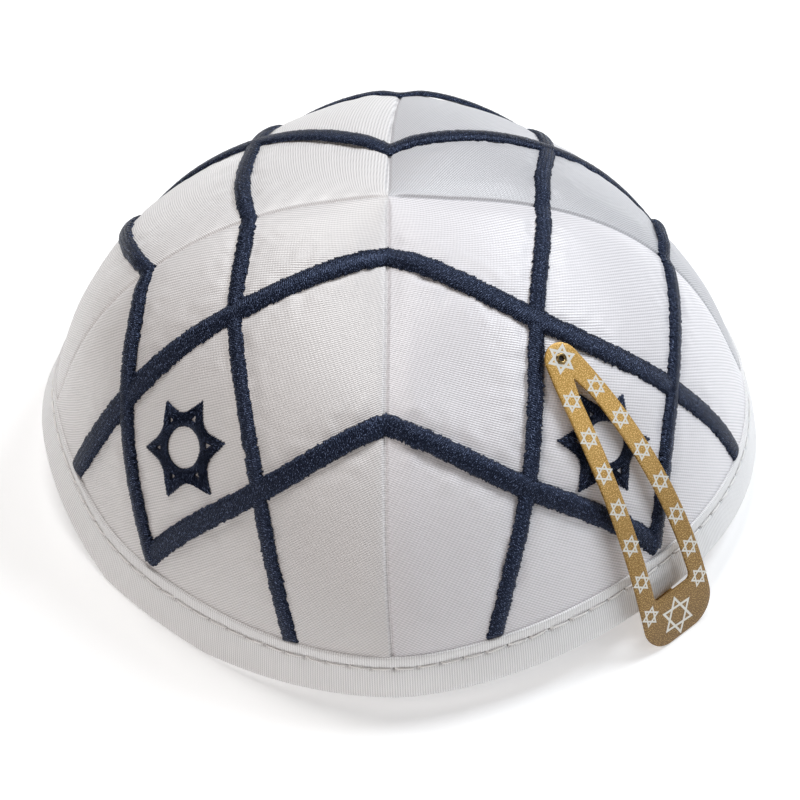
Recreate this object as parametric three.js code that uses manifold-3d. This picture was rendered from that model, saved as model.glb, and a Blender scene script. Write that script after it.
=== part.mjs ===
import * as THREE from "three";
import { mergeVertices } from "three/addons/utils/BufferGeometryUtils.js";
import Module from "manifold-3d";

// A soft skullcap of four satin panels, lying on its rim as it does on a table.
// Millimetres, +Z up, the origin on the table under the middle of the cap.
// The front seam faces -Y, the right seam +X. Bearings are degrees from the front seam
// towards the right seam.

// Cap
const HALF_LENGTH = 76.5; // axis to the front and the back of the rim
const HALF_WIDTH = 72.3; // axis to the right and the left of the rim
const PANEL_REACH = 71.0; // axis to the rim in the middle of a panel
const HEIGHT = 61.0; // table to the button point where the seams meet
const RIM_RISE = 9.5; // how far the left side of the rim stands off the table
const PANEL_WALL = 1.0; // satin and its backing
const PIECE_GAP = 0.3; // between pieces that touch on the real cap
const SEAM_DEPTH = 0.8; // how far the seams pull in
const SEAM_SPREAD = 3.0; // half width of that valley

// Binding folded round the rim
const BAND_WIDTH = 9.5; // visible width of the outer leg
const BINDING_WALL = 1.0; // folded tape
const BINDING_RISE = 0.2; // outer face above the panel's face
const LIP_RISE = 0.35; // the rolled inner edge above the panel's face
const LIP_WIDTH = 0.8; // width of that roll
const INNER_LEG_SETBACK = 1.0; // the hidden leg is this much narrower
const FOLD_ROUND = 0.7; // rounding of the fold at the table
const PRESS = 0.65; // cloth nearer the table than this is pressed flat on it
const TUCK = 2.0; // length over which a panel dips under the binding

// Embroidery
const LINE_HEIGHT = 0.8; // satin stitch above its gap to the panel
const LINE_STEP = 4.0; // length of one straight stretch of a line
const WIDE_LINE = 4.2; // lines that start at the front and back seams
const NARROW_LINE = 3.2; // lines that start at the side seams
const STAR_REACH = 10.0; // centre to tip
const STAR_HOLE = 2.6; // centre to a corner of the middle hole
const STAR_HEIGHT = 0.8;

// Snap clip over the front right of the rim
const CLIP_BEARING = 42.8;
const CLIP_LENGTH = 63.7;
const CLIP_BEND = 100.0; // radius of its lengthwise curve
const CLIP_SHEET = 0.5; // steel sheet
const CLIP_TIP_WIDTH = 5.7;
const CLIP_END_WIDTH = 17.3;
const CLIP_BELLY = 2.2; // how far its sides bow out in the middle
const CLIP_CORNER = 5.5; // rounding of the wide end
const CLIP_LEG = 3.8; // width of each side of the frame
const SLOT_HEAD = 7.6; // tip of the clip to the tip of its opening
const SLOT_HEAD_HALF = 0.1; // half width of the opening at its tip
const SLOT_TAPER = 0.35; // how fast that half width grows along the clip
const PLATE_LENGTH = 9.9; // closed plate at the wide end
const SLOT_CORNER = 1.4; // rounding of the opening at the plate
const TIP_STAND = 1.7; // sheet above the cloth at the tip
const CLIP_CLEARANCE = 1.4; // least height of the sheet above the cloth
const TONGUE_REACH = 40.0; // rim to the end of the tongue, inside the cap
const TONGUE_ROOT_WIDTH = 6.0;
const TONGUE_TIP_WIDTH = 3.2;
const TONGUE_PLAY = 0.2; // on top of the gap between tongue and cloth
const TONGUE_END = 0.97; // share of its length where the tongue narrows to its end
const TONGUE_END_WIDTH = 0.6; // share of its width there

// Eyelet in the tip of the clip
const EYELET_PLACE = 3.1; // tip of the clip to the eyelet's centre
const EYELET_BORE = 0.9; // diameter
const EYELET_WALL = 0.25;
const EYELET_FLANGE = 2.2; // diameter
const FLANGE_THICKNESS = 0.3;
const EYELET_PLAY = 0.2; // round the barrel and under the flanges

// The cap's outer face at the four seams and the four panel middles, every 45 degrees from the
// front seam towards the right. size is the length of its reach. reach is a share of size,
// lift a share of RIM_RISE and band a share of BAND_WIDTH. crown, shoulder and sweep shape the
// profile: roundness at the top, fullness at the side, and how much of a quarter turn it makes.
// sway and swing turn the profile, in degrees, halfway down and at the rim.
const STATION_COLUMNS = ["size", "reach", "lift", "crown", "shoulder", "sweep", "sway", "swing", "band"];
const STATIONS = [
  [HALF_LENGTH, 1.0, 0.44, 2.05, 1.85, 0.96, -1, 0, 1.0],
  [PANEL_REACH, 1.045, 0.69, 2.03, 2.5, 0.66, 0.5, 0, 0.88],
  [HALF_WIDTH, 1.0, 0.06, 1.86, 2.46, 0.84, 6, 0, 1.0],
  [PANEL_REACH, 0.99, 0.0, 1.96, 2.68, 0.7, -4, 0, 1.0],
  [HALF_LENGTH, 1.0, 0.78, 2.0, 1.8, 0.96, -2, 0, 1.0],
  [PANEL_REACH, 1.02, 0.0, 2.0, 2.2, 0.8, -2, 0, 1.0],
  [HALF_WIDTH, 1.0, 1.0, 2.25, 2.5, 0.96, 9, 6, 1.0],
  [PANEL_REACH, 0.99, 0.0, 2.03, 2.68, 0.72, -1, 0, 1.14],
].map((row) => Object.fromEntries(row.map((value, i) => [STATION_COLUMNS[i], value])));

// Places of the embroidery on each panel, as [towards the front or back seam, towards the side
// seam], in shares of the seam's length from the middle of the cap to the rim.
const PANELS = [
  {
    name: "front_right", seam: 0, turn: 1,
    wide_inner: 0.147, wide_outer: 0.482, narrow_inner: 0.292, narrow_outer: 0.584,
    cross: [0.279, 0.283], front_cross: [0.6, 0.281], side_cross: [0.323, 0.597], corner: [0.643, 0.619],
    front_end: [0.883, 0.229], side_end: [0.316, 0.838], star: [0.487, 0.447],
  },
  {
    name: "front_left", seam: 0, turn: -1,
    wide_inner: 0.147, wide_outer: 0.482, narrow_inner: 0.274, narrow_outer: 0.496,
    cross: [0.238, 0.29], front_cross: [0.586, 0.265], side_cross: [0.266, 0.594], corner: [0.625, 0.607],
    front_end: [0.885, 0.24], side_end: [0.236, 0.797], star: [0.461, 0.436],
  },
  {
    name: "back_right", seam: 180, turn: -1,
    wide_inner: 0.168, wide_outer: 0.547, narrow_inner: 0.292, narrow_outer: 0.584,
    cross: [0.274, 0.306], front_cross: [0.625, 0.285], side_cross: [0.414, 0.633], corner: [0.645, 0.615],
    front_end: [0.88, 0.24], side_end: [0.37, 0.83], star: [0.496, 0.462],
  },
  {
    name: "back_left", seam: 180, turn: 1,
    wide_inner: 0.168, wide_outer: 0.547, narrow_inner: 0.274, narrow_outer: 0.496,
    cross: [0.31, 0.288], front_cross: [0.635, 0.28], side_cross: [0.404, 0.605], corner: [0.65, 0.615],
    front_end: [0.88, 0.24], side_end: [0.36, 0.81], star: [0.506, 0.448],
  },
];

// Columns across a panel and rows down it, closer together where the cloth bends more.
const COLUMN_SHARES = [0, 0.03, 0.08, 0.16, 0.27, 0.385, 0.5, 0.615, 0.73, 0.84, 0.92, 0.97, 1];
const ROW_SHARES = [0, 0.07, 0.15, 0.23, 0.31, 0.39, 0.47, 0.55, 0.63, 0.71, 0.79, 0.85];
const PROFILE_STEPS = 240;
const PROFILE_CROWDING = 1.3; // crowds a profile's points towards its top
const FULLNESS = 1.3; // how soon a panel's own shape takes over from its seams
const SWAY_EASE = 1.3; // how far down the sway is greatest
const SEAM_END = 0.94; // share of the way down where the seam's valley ends
const SEAM_FADE = 0.1; // share over which it fades out
const MERGE_WITHIN = 1e-4; // corners nearer than this are one

const QUARTER = 90;
const HALF_TURN = Math.PI / 2;
const radians = THREE.MathUtils.degToRad;
const lerp = THREE.MathUtils.lerp;
const clamp = THREE.MathUtils.clamp;

const SATIN = new THREE.MeshStandardMaterial({ color: 0xe6e7ec, roughness: 0.55, metalness: 0 });
const TAPE = new THREE.MeshStandardMaterial({ color: 0xdfe0e6, roughness: 0.5, metalness: 0 });
const THREAD = new THREE.MeshStandardMaterial({ color: 0x10132e, roughness: 0.45, metalness: 0 });
const GOLD = new THREE.MeshStandardMaterial({ color: 0xa8842e, roughness: 0.4, metalness: 0.8 });
const BRASS = new THREE.MeshStandardMaterial({ color: 0xb58b3c, roughness: 0.35, metalness: 0.9 });

const wasm = await Module();
wasm.setup();

// The stations on both sides of a bearing, and how far along it lies between them.
function between(bearing) {
  const turn = ((bearing % 360) + 360) % 360;
  const step = 360 / STATIONS.length;
  const index = Math.floor(turn / step) % STATIONS.length;
  const before = STATIONS[index];
  const after = STATIONS[(index + 1) % STATIONS.length];
  return { before, after, share: turn / step - Math.floor(turn / step) };
}

// A value of the table between its stations, easing in and out of each.
function eased(bearing, column) {
  const { before, after, share } = between(bearing);
  return lerp(before[column], after[column], (1 - Math.cos(Math.PI * share)) / 2);
}

// How far a bearing is towards the middle of its panel: 0 on a seam, 1 halfway between two.
function fullness(bearing) {
  return Math.abs(Math.sin(2 * radians(bearing))) ** FULLNESS;
}

// The seam and the panel middle whose profiles make up a bearing.
function neighbours(bearing) {
  const turn = ((bearing % 360) + 360) % 360;
  const middle = Math.floor(turn / QUARTER) * 2 + 1;
  const seam = Math.round(turn / QUARTER) * 2;
  return { seam: STATIONS[seam % STATIONS.length], middle: STATIONS[middle % STATIONS.length] };
}

function stationPoint(station, share) {
  const angle = share * station.sweep * HALF_TURN;
  const last = station.sweep * HALF_TURN;
  const drop = Math.abs(Math.cos(angle)) ** (2 / station.crown);
  const lastDrop = Math.abs(Math.cos(last)) ** (2 / station.crown);
  const lift = station.lift * RIM_RISE;
  return {
    r: station.size * station.reach * (Math.sin(angle) / Math.sin(last)) ** (2 / station.shoulder),
    z: lift + (HEIGHT - lift) * (drop - lastDrop) / (1 - lastDrop),
  };
}

const profiles = new Map();

// The outer face over one bearing: points, lengths along it from the top, and tangents.
function profile(bearing) {
  const key = bearing.toFixed(4);
  if (profiles.has(key)) {
    return profiles.get(key);
  }
  const { seam, middle } = neighbours(bearing);
  const full = fullness(bearing);
  const toSeam = Math.abs(Math.sin(radians(bearing - Math.round(bearing / QUARTER) * QUARTER)));
  const points = [];
  for (let i = 0; i <= PROFILE_STEPS; i += 1) {
    const share = (i / PROFILE_STEPS) ** PROFILE_CROWDING;
    const onSeam = stationPoint(seam, share);
    const onMiddle = stationPoint(middle, share);
    points.push({ r: lerp(onSeam.r, onMiddle.r, full), z: lerp(onSeam.z, onMiddle.z, full) });
  }
  measure(points);
  const total = points[PROFILE_STEPS].s;
  for (const point of points) {
    const near = Math.exp(-((point.r * toSeam / SEAM_SPREAD) ** 2));
    const fadeIn = clamp(point.r / (4 * SEAM_SPREAD), 0, 1);
    const fade = fadeIn * clamp((SEAM_END - point.s / total) / SEAM_FADE, 0, 1);
    const dent = SEAM_DEPTH * near * fade;
    point.r += point.tz * dent;
    point.z -= point.tr * dent;
  }
  points[0].r = 0;
  measure(points);
  profiles.set(key, points);
  return points;
}

// Writes the length from the first point and the unit tangent into each point.
function measure(points) {
  points.forEach((point, i) => {
    const back = points[Math.max(i - 1, 0)];
    const next = points[Math.min(i + 1, points.length - 1)];
    const length = Math.hypot(next.r - back.r, next.z - back.z);
    point.tr = (next.r - back.r) / length;
    point.tz = (next.z - back.z) / length;
    point.s = i === 0 ? 0 : back.s + Math.hypot(point.r - back.r, point.z - back.z);
  });
  points[0].tr = 1;
  points[0].tz = 0;
}

function seamLength(bearing) {
  return profile(bearing)[PROFILE_STEPS].s;
}

// A point of the profile plane: s along the outer face, off away from it.
function onProfile(bearing, s, off) {
  const points = profile(bearing);
  const total = points[PROFILE_STEPS].s;
  let index = Math.floor((clamp(s / total, 0, 1) ** (1 / PROFILE_CROWDING)) * PROFILE_STEPS);
  index = clamp(index, 0, PROFILE_STEPS - 1);
  while (index > 0 && points[index].s > s) {
    index -= 1;
  }
  while (index < PROFILE_STEPS - 1 && points[index + 1].s < s) {
    index += 1;
  }
  const a = points[index];
  const b = points[index + 1];
  const share = Math.max((s - a.s) / (b.s - a.s), 0);
  const turn = Math.min(share, 1);
  const tr = lerp(a.tr, b.tr, turn);
  const tz = lerp(a.tz, b.tz, turn);
  return { r: lerp(a.r, b.r, share) - tz * off, z: lerp(a.z, b.z, share) + tr * off };
}

// Turns a point of the profile plane out to its bearing.
function placed(bearing, share, flat) {
  const sway = eased(bearing, "sway") * Math.sin(Math.PI * Math.min(share, 1) ** SWAY_EASE);
  const swing = eased(bearing, "swing") * Math.min(share, 1) ** 2;
  const angle = radians(bearing + sway + swing);
  return new THREE.Vector3(flat.r * Math.sin(angle), -flat.r * Math.cos(angle), flat.z);
}

function skin(bearing, share, off) {
  return placed(bearing, share, onProfile(bearing, share * seamLength(bearing), off));
}

// The height of the fold's underside: flat on the table where the cloth comes near it.
function foldHeight(bearing) {
  const { seam, middle } = neighbours(bearing);
  const lift = lerp(seam.lift, middle.lift, fullness(bearing)) * RIM_RISE;
  return Math.max(lift - PRESS ** 2 / lift, 0);
}

// A point at the rim, level with the rest of the fold: off from the outer face, and up from
// the fold's underside.
function foldPoint(bearing, off, up) {
  const total = seamLength(bearing);
  const end = onProfile(bearing, total, off);
  const above = onProfile(bearing, total - 1, off);
  const share = (foldHeight(bearing) + up - end.z) / (above.z - end.z);
  return { r: lerp(end.r, above.r, share), z: lerp(end.z, above.z, share) };
}

function bandWidth(bearing) {
  return BAND_WIDTH * eased(bearing, "band");
}

// A closed body through rings of points. Rings that close on themselves have no end caps.
function body(rings, closed) {
  const corners = rings.flat();
  const count = rings[0].length;
  const faces = [];
  const lastRing = closed ? rings.length : rings.length - 1;
  for (let i = 0; i < lastRing; i += 1) {
    const a = i * count;
    const b = ((i + 1) % rings.length) * count;
    for (let j = 0; j < count; j += 1) {
      const k = (j + 1) % count;
      faces.push([a + j, a + k, b + j], [a + k, b + k, b + j]);
    }
  }
  if (!closed) {
    const end = (rings.length - 1) * count;
    for (let j = 0; j < Math.floor(count / 2); j += 1) {
      const k = count - 1 - j;
      faces.push([j, k, j + 1], [j + 1, k, k - 1]);
      faces.push([end + j, end + j + 1, end + k], [end + j + 1, end + k - 1, end + k]);
    }
  }
  const geometry = new THREE.BufferGeometry();
  const places = corners.flatMap((corner) => corner.toArray());
  geometry.setAttribute("position", new THREE.Float32BufferAttribute(places, 3));
  geometry.setIndex(faces.flat());
  return outward(mergeVertices(geometry, MERGE_WITHIN));
}

// Drops faces without area and turns the rest outwards.
function outward(geometry) {
  const index = geometry.getIndex().array;
  const at = (i) => new THREE.Vector3().fromBufferAttribute(geometry.getAttribute("position"), i);
  const faces = [];
  let volume = 0;
  for (let i = 0; i < index.length; i += 3) {
    const [a, b, c] = [index[i], index[i + 1], index[i + 2]];
    if (a !== b && b !== c && c !== a) {
      faces.push([a, b, c]);
      volume += at(a).dot(at(b).cross(at(c)));
    }
  }
  geometry.setIndex(faces.map(([a, b, c]) => (volume > 0 ? [a, b, c] : [a, c, b])).flat());
  geometry.computeVertexNormals();
  return geometry;
}

function toSolid(geometry) {
  const bare = geometry.clone();
  bare.deleteAttribute("normal");
  bare.deleteAttribute("uv");
  const merged = mergeVertices(bare, MERGE_WITHIN);
  return new wasm.Manifold(new wasm.Mesh({
    numProp: 3,
    vertProperties: new Float32Array(merged.getAttribute("position").array),
    triVerts: new Uint32Array(merged.getIndex().array),
  }));
}

function toGeometry(solid) {
  const mesh = solid.getMesh();
  const geometry = new THREE.BufferGeometry();
  geometry.setAttribute("position", new THREE.Float32BufferAttribute(Array.from(mesh.vertProperties), 3));
  geometry.setIndex(Array.from(mesh.triVerts));
  geometry.computeVertexNormals();
  return geometry;
}

function joined(geometries) {
  const solids = geometries.map(toSolid);
  return toGeometry(solids.slice(1).reduce((whole, next) => whole.add(next), solids[0]));
}

// Faces of the layers at the rim, measured from the outer face of the panels.
const OUTER_LEG_INSIDE = BINDING_RISE - BINDING_WALL;
const TUCKED_FACE = OUTER_LEG_INSIDE - PIECE_GAP;
const INNER_LEG_OUTSIDE = TUCKED_FACE - PANEL_WALL - PIECE_GAP;
const INNER_LEG_INSIDE = INNER_LEG_OUTSIDE - BINDING_WALL;

// Half of the gap between two panels: each quarter of the cap moves out by this both ways.
function quarterShift(panel) {
  const middle = radians(panel.seam + panel.turn * QUARTER / 2);
  const side = PIECE_GAP / 2;
  return new THREE.Vector3(Math.sign(Math.sin(middle)) * side, -Math.sign(Math.cos(middle)) * side, 0);
}

function panelBearing(panel, share) {
  return panel.seam + panel.turn * QUARTER * share;
}

function panelRing(panel, row) {
  const across = (face) => COLUMN_SHARES.map((share) => row(panelBearing(panel, share), face));
  const ring = across(0).concat(across(-PANEL_WALL).reverse());
  return ring.map((point) => point.add(quarterShift(panel)));
}

// One panel of the cap: down from the top, then tucked into the fold of the binding.
function panelGeometry(panel) {
  const rings = [];
  for (const share of ROW_SHARES) {
    rings.push(panelRing(panel, (bearing, face) => skin(bearing, share, face)));
  }
  const level = (above, off) => (bearing, face) => {
    const total = seamLength(bearing);
    const s = total - above(bearing);
    return placed(bearing, s / total, onProfile(bearing, s, off + face));
  };
  rings.push(panelRing(panel, level((bearing) => bandWidth(bearing) + TUCK, 0)));
  rings.push(panelRing(panel, level((bearing) => bandWidth(bearing) + PIECE_GAP, TUCKED_FACE)));
  rings.push(panelRing(panel, level((bearing) => bandWidth(bearing) / 2, TUCKED_FACE)));
  rings.push(panelRing(panel, (bearing, face) => (
    placed(bearing, 1, foldPoint(bearing, TUCKED_FACE + face, BINDING_WALL + PIECE_GAP)))));
  return body(rings, false);
}

// The binding: one tape folded round the rim, with the panels' edges inside the fold.
function bindingGeometry() {
  const rings = [];
  for (let quarter = 0; quarter < 4; quarter += 1) {
    for (const share of COLUMN_SHARES.slice(0, -1)) {
      const bearing = (quarter + share) * QUARTER;
      const width = bandWidth(bearing);
      const total = seamLength(bearing);
      const leg = (above, off) => placed(bearing, 1 - above / total, onProfile(bearing, total - above, off));
      const fold = (off, up) => placed(bearing, 1, foldPoint(bearing, off, up));
      rings.push([
        leg(width, OUTER_LEG_INSIDE),
        leg(width, 0),
        leg(width - LIP_WIDTH, LIP_RISE),
        leg(width / 2, BINDING_RISE),
        fold(BINDING_RISE, FOLD_ROUND),
        fold(BINDING_RISE - FOLD_ROUND, 0),
        fold(INNER_LEG_INSIDE + FOLD_ROUND, 0),
        fold(INNER_LEG_INSIDE, FOLD_ROUND),
        leg(width / 2, INNER_LEG_INSIDE),
        leg(width - INNER_LEG_SETBACK, INNER_LEG_INSIDE),
        leg(width - INNER_LEG_SETBACK, INNER_LEG_OUTSIDE),
        leg(width / 2, INNER_LEG_OUTSIDE),
        fold(INNER_LEG_OUTSIDE, BINDING_WALL),
        fold(OUTER_LEG_INSIDE, BINDING_WALL),
        leg(width / 2, OUTER_LEG_INSIDE),
      ]);
    }
  }
  return body(rings, true);
}

// Bearing and share of the way down for a place on a panel.
function patternPlace(panel, place) {
  const angle = THREE.MathUtils.radToDeg(Math.atan2(place.y, place.x));
  return { bearing: panel.seam + panel.turn * angle, share: Math.hypot(place.x, place.y) };
}

// The place where the way from the middle through a place meets the binding.
function atBinding(panel, place) {
  const { bearing, share } = patternPlace(panel, place);
  const edge = 1 - (bandWidth(bearing) + PIECE_GAP) / seamLength(bearing);
  return place.clone().multiplyScalar(edge / share);
}

function patternPoint(panel, place, off) {
  const { bearing, share } = patternPlace(panel, place);
  return skin(bearing, share, off);
}

const LINE_SECTION = [[-0.5, 0], [-0.36, 0.7], [0, 1], [0.36, 0.7], [0.5, 0]];

// One line of satin stitch: a half-round rib a small gap above the panel. Its ends are mitred
// along the seam or the binding that they meet.
function lineGeometry(panel, places, width, ends) {
  const curve = new THREE.CatmullRomCurve3(places.map((place) => new THREE.Vector3(place.x, place.y, 0)));
  const steps = Math.ceil(curve.getLength() * seamLength(panel.seam) / LINE_STEP);
  const flat = curve.getSpacedPoints(steps).map((point) => new THREE.Vector2(point.x, point.y));
  const nudge = 1e-3;
  const rings = flat.map((place, i) => {
    const middle = patternPoint(panel, place, PIECE_GAP);
    const along = patternPoint(panel, flat[Math.min(i + 1, steps)], PIECE_GAP)
      .sub(patternPoint(panel, flat[Math.max(i - 1, 0)], PIECE_GAP)).normalize();
    const east = patternPoint(panel, place.clone().add(new THREE.Vector2(nudge, 0)), PIECE_GAP).sub(middle);
    const north = patternPoint(panel, place.clone().add(new THREE.Vector2(0, nudge)), PIECE_GAP).sub(middle);
    const up = east.clone().cross(north).multiplyScalar(panel.turn).normalize();
    const side = along.clone().cross(up).normalize();
    const end = i === 0 ? ends[0] : i === steps ? ends[1] : null;
    if (end) {
      const edge = endDirection(panel, place, end);
      const slant = edge.dot(side);
      side.copy(edge.multiplyScalar(1 / slant));
    }
    return LINE_SECTION.map(([across, rise]) => middle.clone()
      .addScaledVector(side, across * width)
      .addScaledVector(up, rise * LINE_HEIGHT));
  });
  return body(rings, false);
}

// The direction of the seam or of the binding at the end of a line.
function endDirection(panel, place, end) {
  const { bearing, share } = patternPlace(panel, place);
  const step = 0.01;
  if (end === "seam") {
    return skin(bearing, share + step, PIECE_GAP).sub(skin(bearing, share - step, PIECE_GAP)).normalize();
  }
  return skin(bearing + 1, share, PIECE_GAP).sub(skin(bearing - 1, share, PIECE_GAP)).normalize();
}

// The lattice of one panel: two wide lines from the front or back seam and two narrow ones
// from the side seam, crossing each other and stitched as one net.
function embroideryGeometry(panel) {
  const at = ([x, y]) => new THREE.Vector2(x, y);
  const frontEnd = atBinding(panel, at(panel.front_end));
  const sideEnd = atBinding(panel, at(panel.side_end));
  const corner = at(panel.corner);
  const past = NARROW_LINE / 4 / seamLength(panel.seam);
  const pastCorner = (from) => corner.clone().add(corner.clone().sub(from).setLength(past));
  const cross = at(panel.cross);
  const crossFront = at(panel.front_cross);
  const crossSide = at(panel.side_cross);
  const wideInner = [at([panel.wide_inner, 0]), cross, crossSide, sideEnd];
  const wideOuter = [at([panel.wide_outer, 0]), crossFront, pastCorner(crossFront)];
  const narrowInner = [at([0, panel.narrow_inner]), cross, crossFront, frontEnd];
  const narrowOuter = [at([0, panel.narrow_outer]), crossSide, pastCorner(crossSide)];
  const net = joined([
    lineGeometry(panel, wideInner, WIDE_LINE, ["seam", "binding"]),
    lineGeometry(panel, wideOuter, WIDE_LINE, ["seam", null]),
    lineGeometry(panel, narrowInner, NARROW_LINE, ["seam", "binding"]),
    lineGeometry(panel, narrowOuter, NARROW_LINE, ["seam", null]),
  ]);
  const shift = quarterShift(panel);
  return net.translate(shift.x, shift.y, shift.z);
}

const STAR_POINTS = 6;
// Share of the way from the hole to the outline, and share of the height.
const STAR_SECTION = [[0, 0], [0.1, 0.8], [0.5, 1], [0.85, 0.7], [1, 0], [0.5, 0]];

// A six-pointed star wrapped on the panel, with a six-sided hole in its middle.
function starGeometry(panel) {
  const { bearing, share } = patternPlace(panel, new THREE.Vector2(...panel.star));
  const total = seamLength(bearing);
  const radius = onProfile(bearing, share * total, 0).r;
  const rings = [];
  for (let i = 0; i < 2 * STAR_POINTS; i += 1) {
    const angle = i * Math.PI / STAR_POINTS;
    const isTip = i % 2 === 0;
    const outer = isTip ? STAR_REACH : STAR_REACH / Math.sqrt(3);
    const inner = isTip ? STAR_HOLE * Math.cos(Math.PI / STAR_POINTS) : STAR_HOLE;
    rings.push(STAR_SECTION.map(([out, rise]) => {
      const reach = lerp(inner, outer, out);
      const down = reach * Math.cos(angle) / total;
      const round = THREE.MathUtils.radToDeg(reach * Math.sin(angle) / radius);
      return skin(bearing + round, share + down, PIECE_GAP + rise * STAR_HEIGHT);
    }));
  }
  return body(rings, true);
}

// The clip lies in the upright plane of its bearing, with its wide end on the table, bent to
// an arc that rests over the cloth.
const clipLine = layClip();

function layClip() {
  const half = CLIP_LENGTH / (2 * CLIP_BEND);
  const chord = 2 * CLIP_BEND * Math.sin(half);
  const total = seamLength(CLIP_BEARING);
  const cloth = profile(CLIP_BEARING);
  const laid = (share) => {
    const tip = onProfile(CLIP_BEARING, share * total, TIP_STAND + CLIP_SHEET);
    const fall = tip.z - CLIP_SHEET / 2;
    const slope = Math.asin(clamp(fall / chord, 0, 1));
    const along = new THREE.Vector2(Math.cos(slope), -Math.sin(slope));
    const bulge = new THREE.Vector2(Math.sin(slope), Math.cos(slope));
    const middle = new THREE.Vector2(tip.r, tip.z).addScaledVector(along, chord / 2);
    const line = (s) => {
      const turn = (s - CLIP_LENGTH / 2) / CLIP_BEND;
      const point = middle.clone()
        .addScaledVector(along, CLIP_BEND * Math.sin(turn))
        .addScaledVector(bulge, CLIP_BEND * (Math.cos(turn) - Math.cos(half)));
      const out = bulge.clone().multiplyScalar(Math.cos(turn)).addScaledVector(along, Math.sin(turn));
      return { point, out };
    };
    return line;
  };
  const clearance = (line) => {
    let least = Infinity;
    for (let s = 0; s < CLIP_LENGTH * 0.8; s += 1) {
      const { point } = line(s);
      for (const spot of cloth) {
        const away = (point.x - spot.r) * -spot.tz + (point.y - spot.z) * spot.tr;
        const aside = (point.x - spot.r) * spot.tr + (point.y - spot.z) * spot.tz;
        if (Math.abs(aside) < 1) {
          least = Math.min(least, away);
        }
      }
    }
    return least - CLIP_SHEET;
  };
  let high = 0.2;
  let low = 0.8;
  for (let i = 0; i < 30; i += 1) {
    const share = (high + low) / 2;
    if (clearance(laid(share)) < CLIP_CLEARANCE) {
      high = share;
    } else {
      low = share;
    }
  }
  return laid(low);
}

function inPlane(r, z, aside) {
  const angle = radians(CLIP_BEARING);
  const side = new THREE.Vector3(Math.cos(angle), Math.sin(angle), 0);
  return new THREE.Vector3(r * Math.sin(angle), -r * Math.cos(angle), z).addScaledVector(side, aside);
}

// A point of the clip: s from its tip, aside from its middle line, off its outer face.
function clipPoint(s, aside, off) {
  const { point, out } = clipLine(s);
  return inPlane(point.x + out.x * off, point.y + out.y * off, aside);
}

function clipHalfWidth(s) {
  const along = s / CLIP_LENGTH;
  const side = lerp(CLIP_TIP_WIDTH, CLIP_END_WIDTH, along) / 2 + 4 * CLIP_BELLY * along * (1 - along);
  const tipRound = CLIP_TIP_WIDTH / 2;
  const toTip = Math.max(tipRound - s, 0);
  const toCorner = Math.max(s - (CLIP_LENGTH - CLIP_CORNER), 0);
  const tipCut = side - Math.sqrt(Math.max(tipRound ** 2 - toTip ** 2, 0));
  const cornerCut = CLIP_CORNER - Math.sqrt(Math.max(CLIP_CORNER ** 2 - toCorner ** 2, 0));
  return side - (s < tipRound ? tipCut : 0) - cornerCut;
}

// A four-cornered section across the clip, between two distances off its outer face.
function clipRing(s, half, top, bottom) {
  const corners = [[-half, top], [half, top], [half, bottom], [-half, bottom]];
  return corners.map(([aside, off]) => clipPoint(s, aside, off));
}

// Sections of the sheet, from the tip: closer together where its outline bends more. They are
// stretched to the clip's length.
const SHEET_STOPS = [
  0.02, 0.3, 0.9, 1.8, 2.85, 5, 8, 12, 16, 20, 24, 28, 32, 36, 40, 44, 48, 52, 55,
  58.2, 60, 61.6, 62.8, 63.5, 63.7,
];

// The flat sheet of the clip, bent, before its opening is cut.
function clipSheet() {
  const last = SHEET_STOPS[SHEET_STOPS.length - 1];
  const rings = SHEET_STOPS.map((stop) => {
    const s = stop / last * CLIP_LENGTH;
    return clipRing(s, clipHalfWidth(s), 0, -CLIP_SHEET);
  });
  return body(rings, false);
}

// A cutter for the opening between the two sides of the frame.
function slotCutter() {
  const foot = CLIP_LENGTH - PLATE_LENGTH;
  const count = 14;
  const rings = [];
  for (let i = 0; i <= count; i += 1) {
    const s = lerp(SLOT_HEAD, foot, i / count);
    const toFoot = Math.max(s - (foot - SLOT_CORNER), 0);
    const corner = SLOT_CORNER - Math.sqrt(SLOT_CORNER ** 2 - toFoot ** 2);
    const tapered = (s - SLOT_HEAD) * SLOT_TAPER + SLOT_HEAD_HALF;
    const half = Math.max(Math.min(clipHalfWidth(s) - CLIP_LEG, tapered) - corner, SLOT_HEAD_HALF);
    rings.push(clipRing(s, half, 2 * CLIP_SHEET, -4 * CLIP_SHEET));
  }
  return body(rings, false);
}

// A round cutter for the hole that the eyelet's barrel passes through.
function eyeletCutter() {
  const radius = EYELET_BORE / 2 + EYELET_WALL + EYELET_PLAY;
  const drill = new THREE.CylinderGeometry(radius, radius, 6 * CLIP_SHEET, 16);
  return seatEyelet(drill);
}

// Stands a shape that was made round the Y axis on the clip at the eyelet's place.
function seatEyelet(geometry) {
  const centre = clipPoint(EYELET_PLACE, 0, -CLIP_SHEET / 2);
  const out = clipPoint(EYELET_PLACE, 0, 1).sub(clipPoint(EYELET_PLACE, 0, 0)).normalize();
  const turn = new THREE.Quaternion().setFromUnitVectors(new THREE.Vector3(0, 1, 0), out);
  return geometry.applyQuaternion(turn).translate(centre.x, centre.y, centre.z);
}

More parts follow.
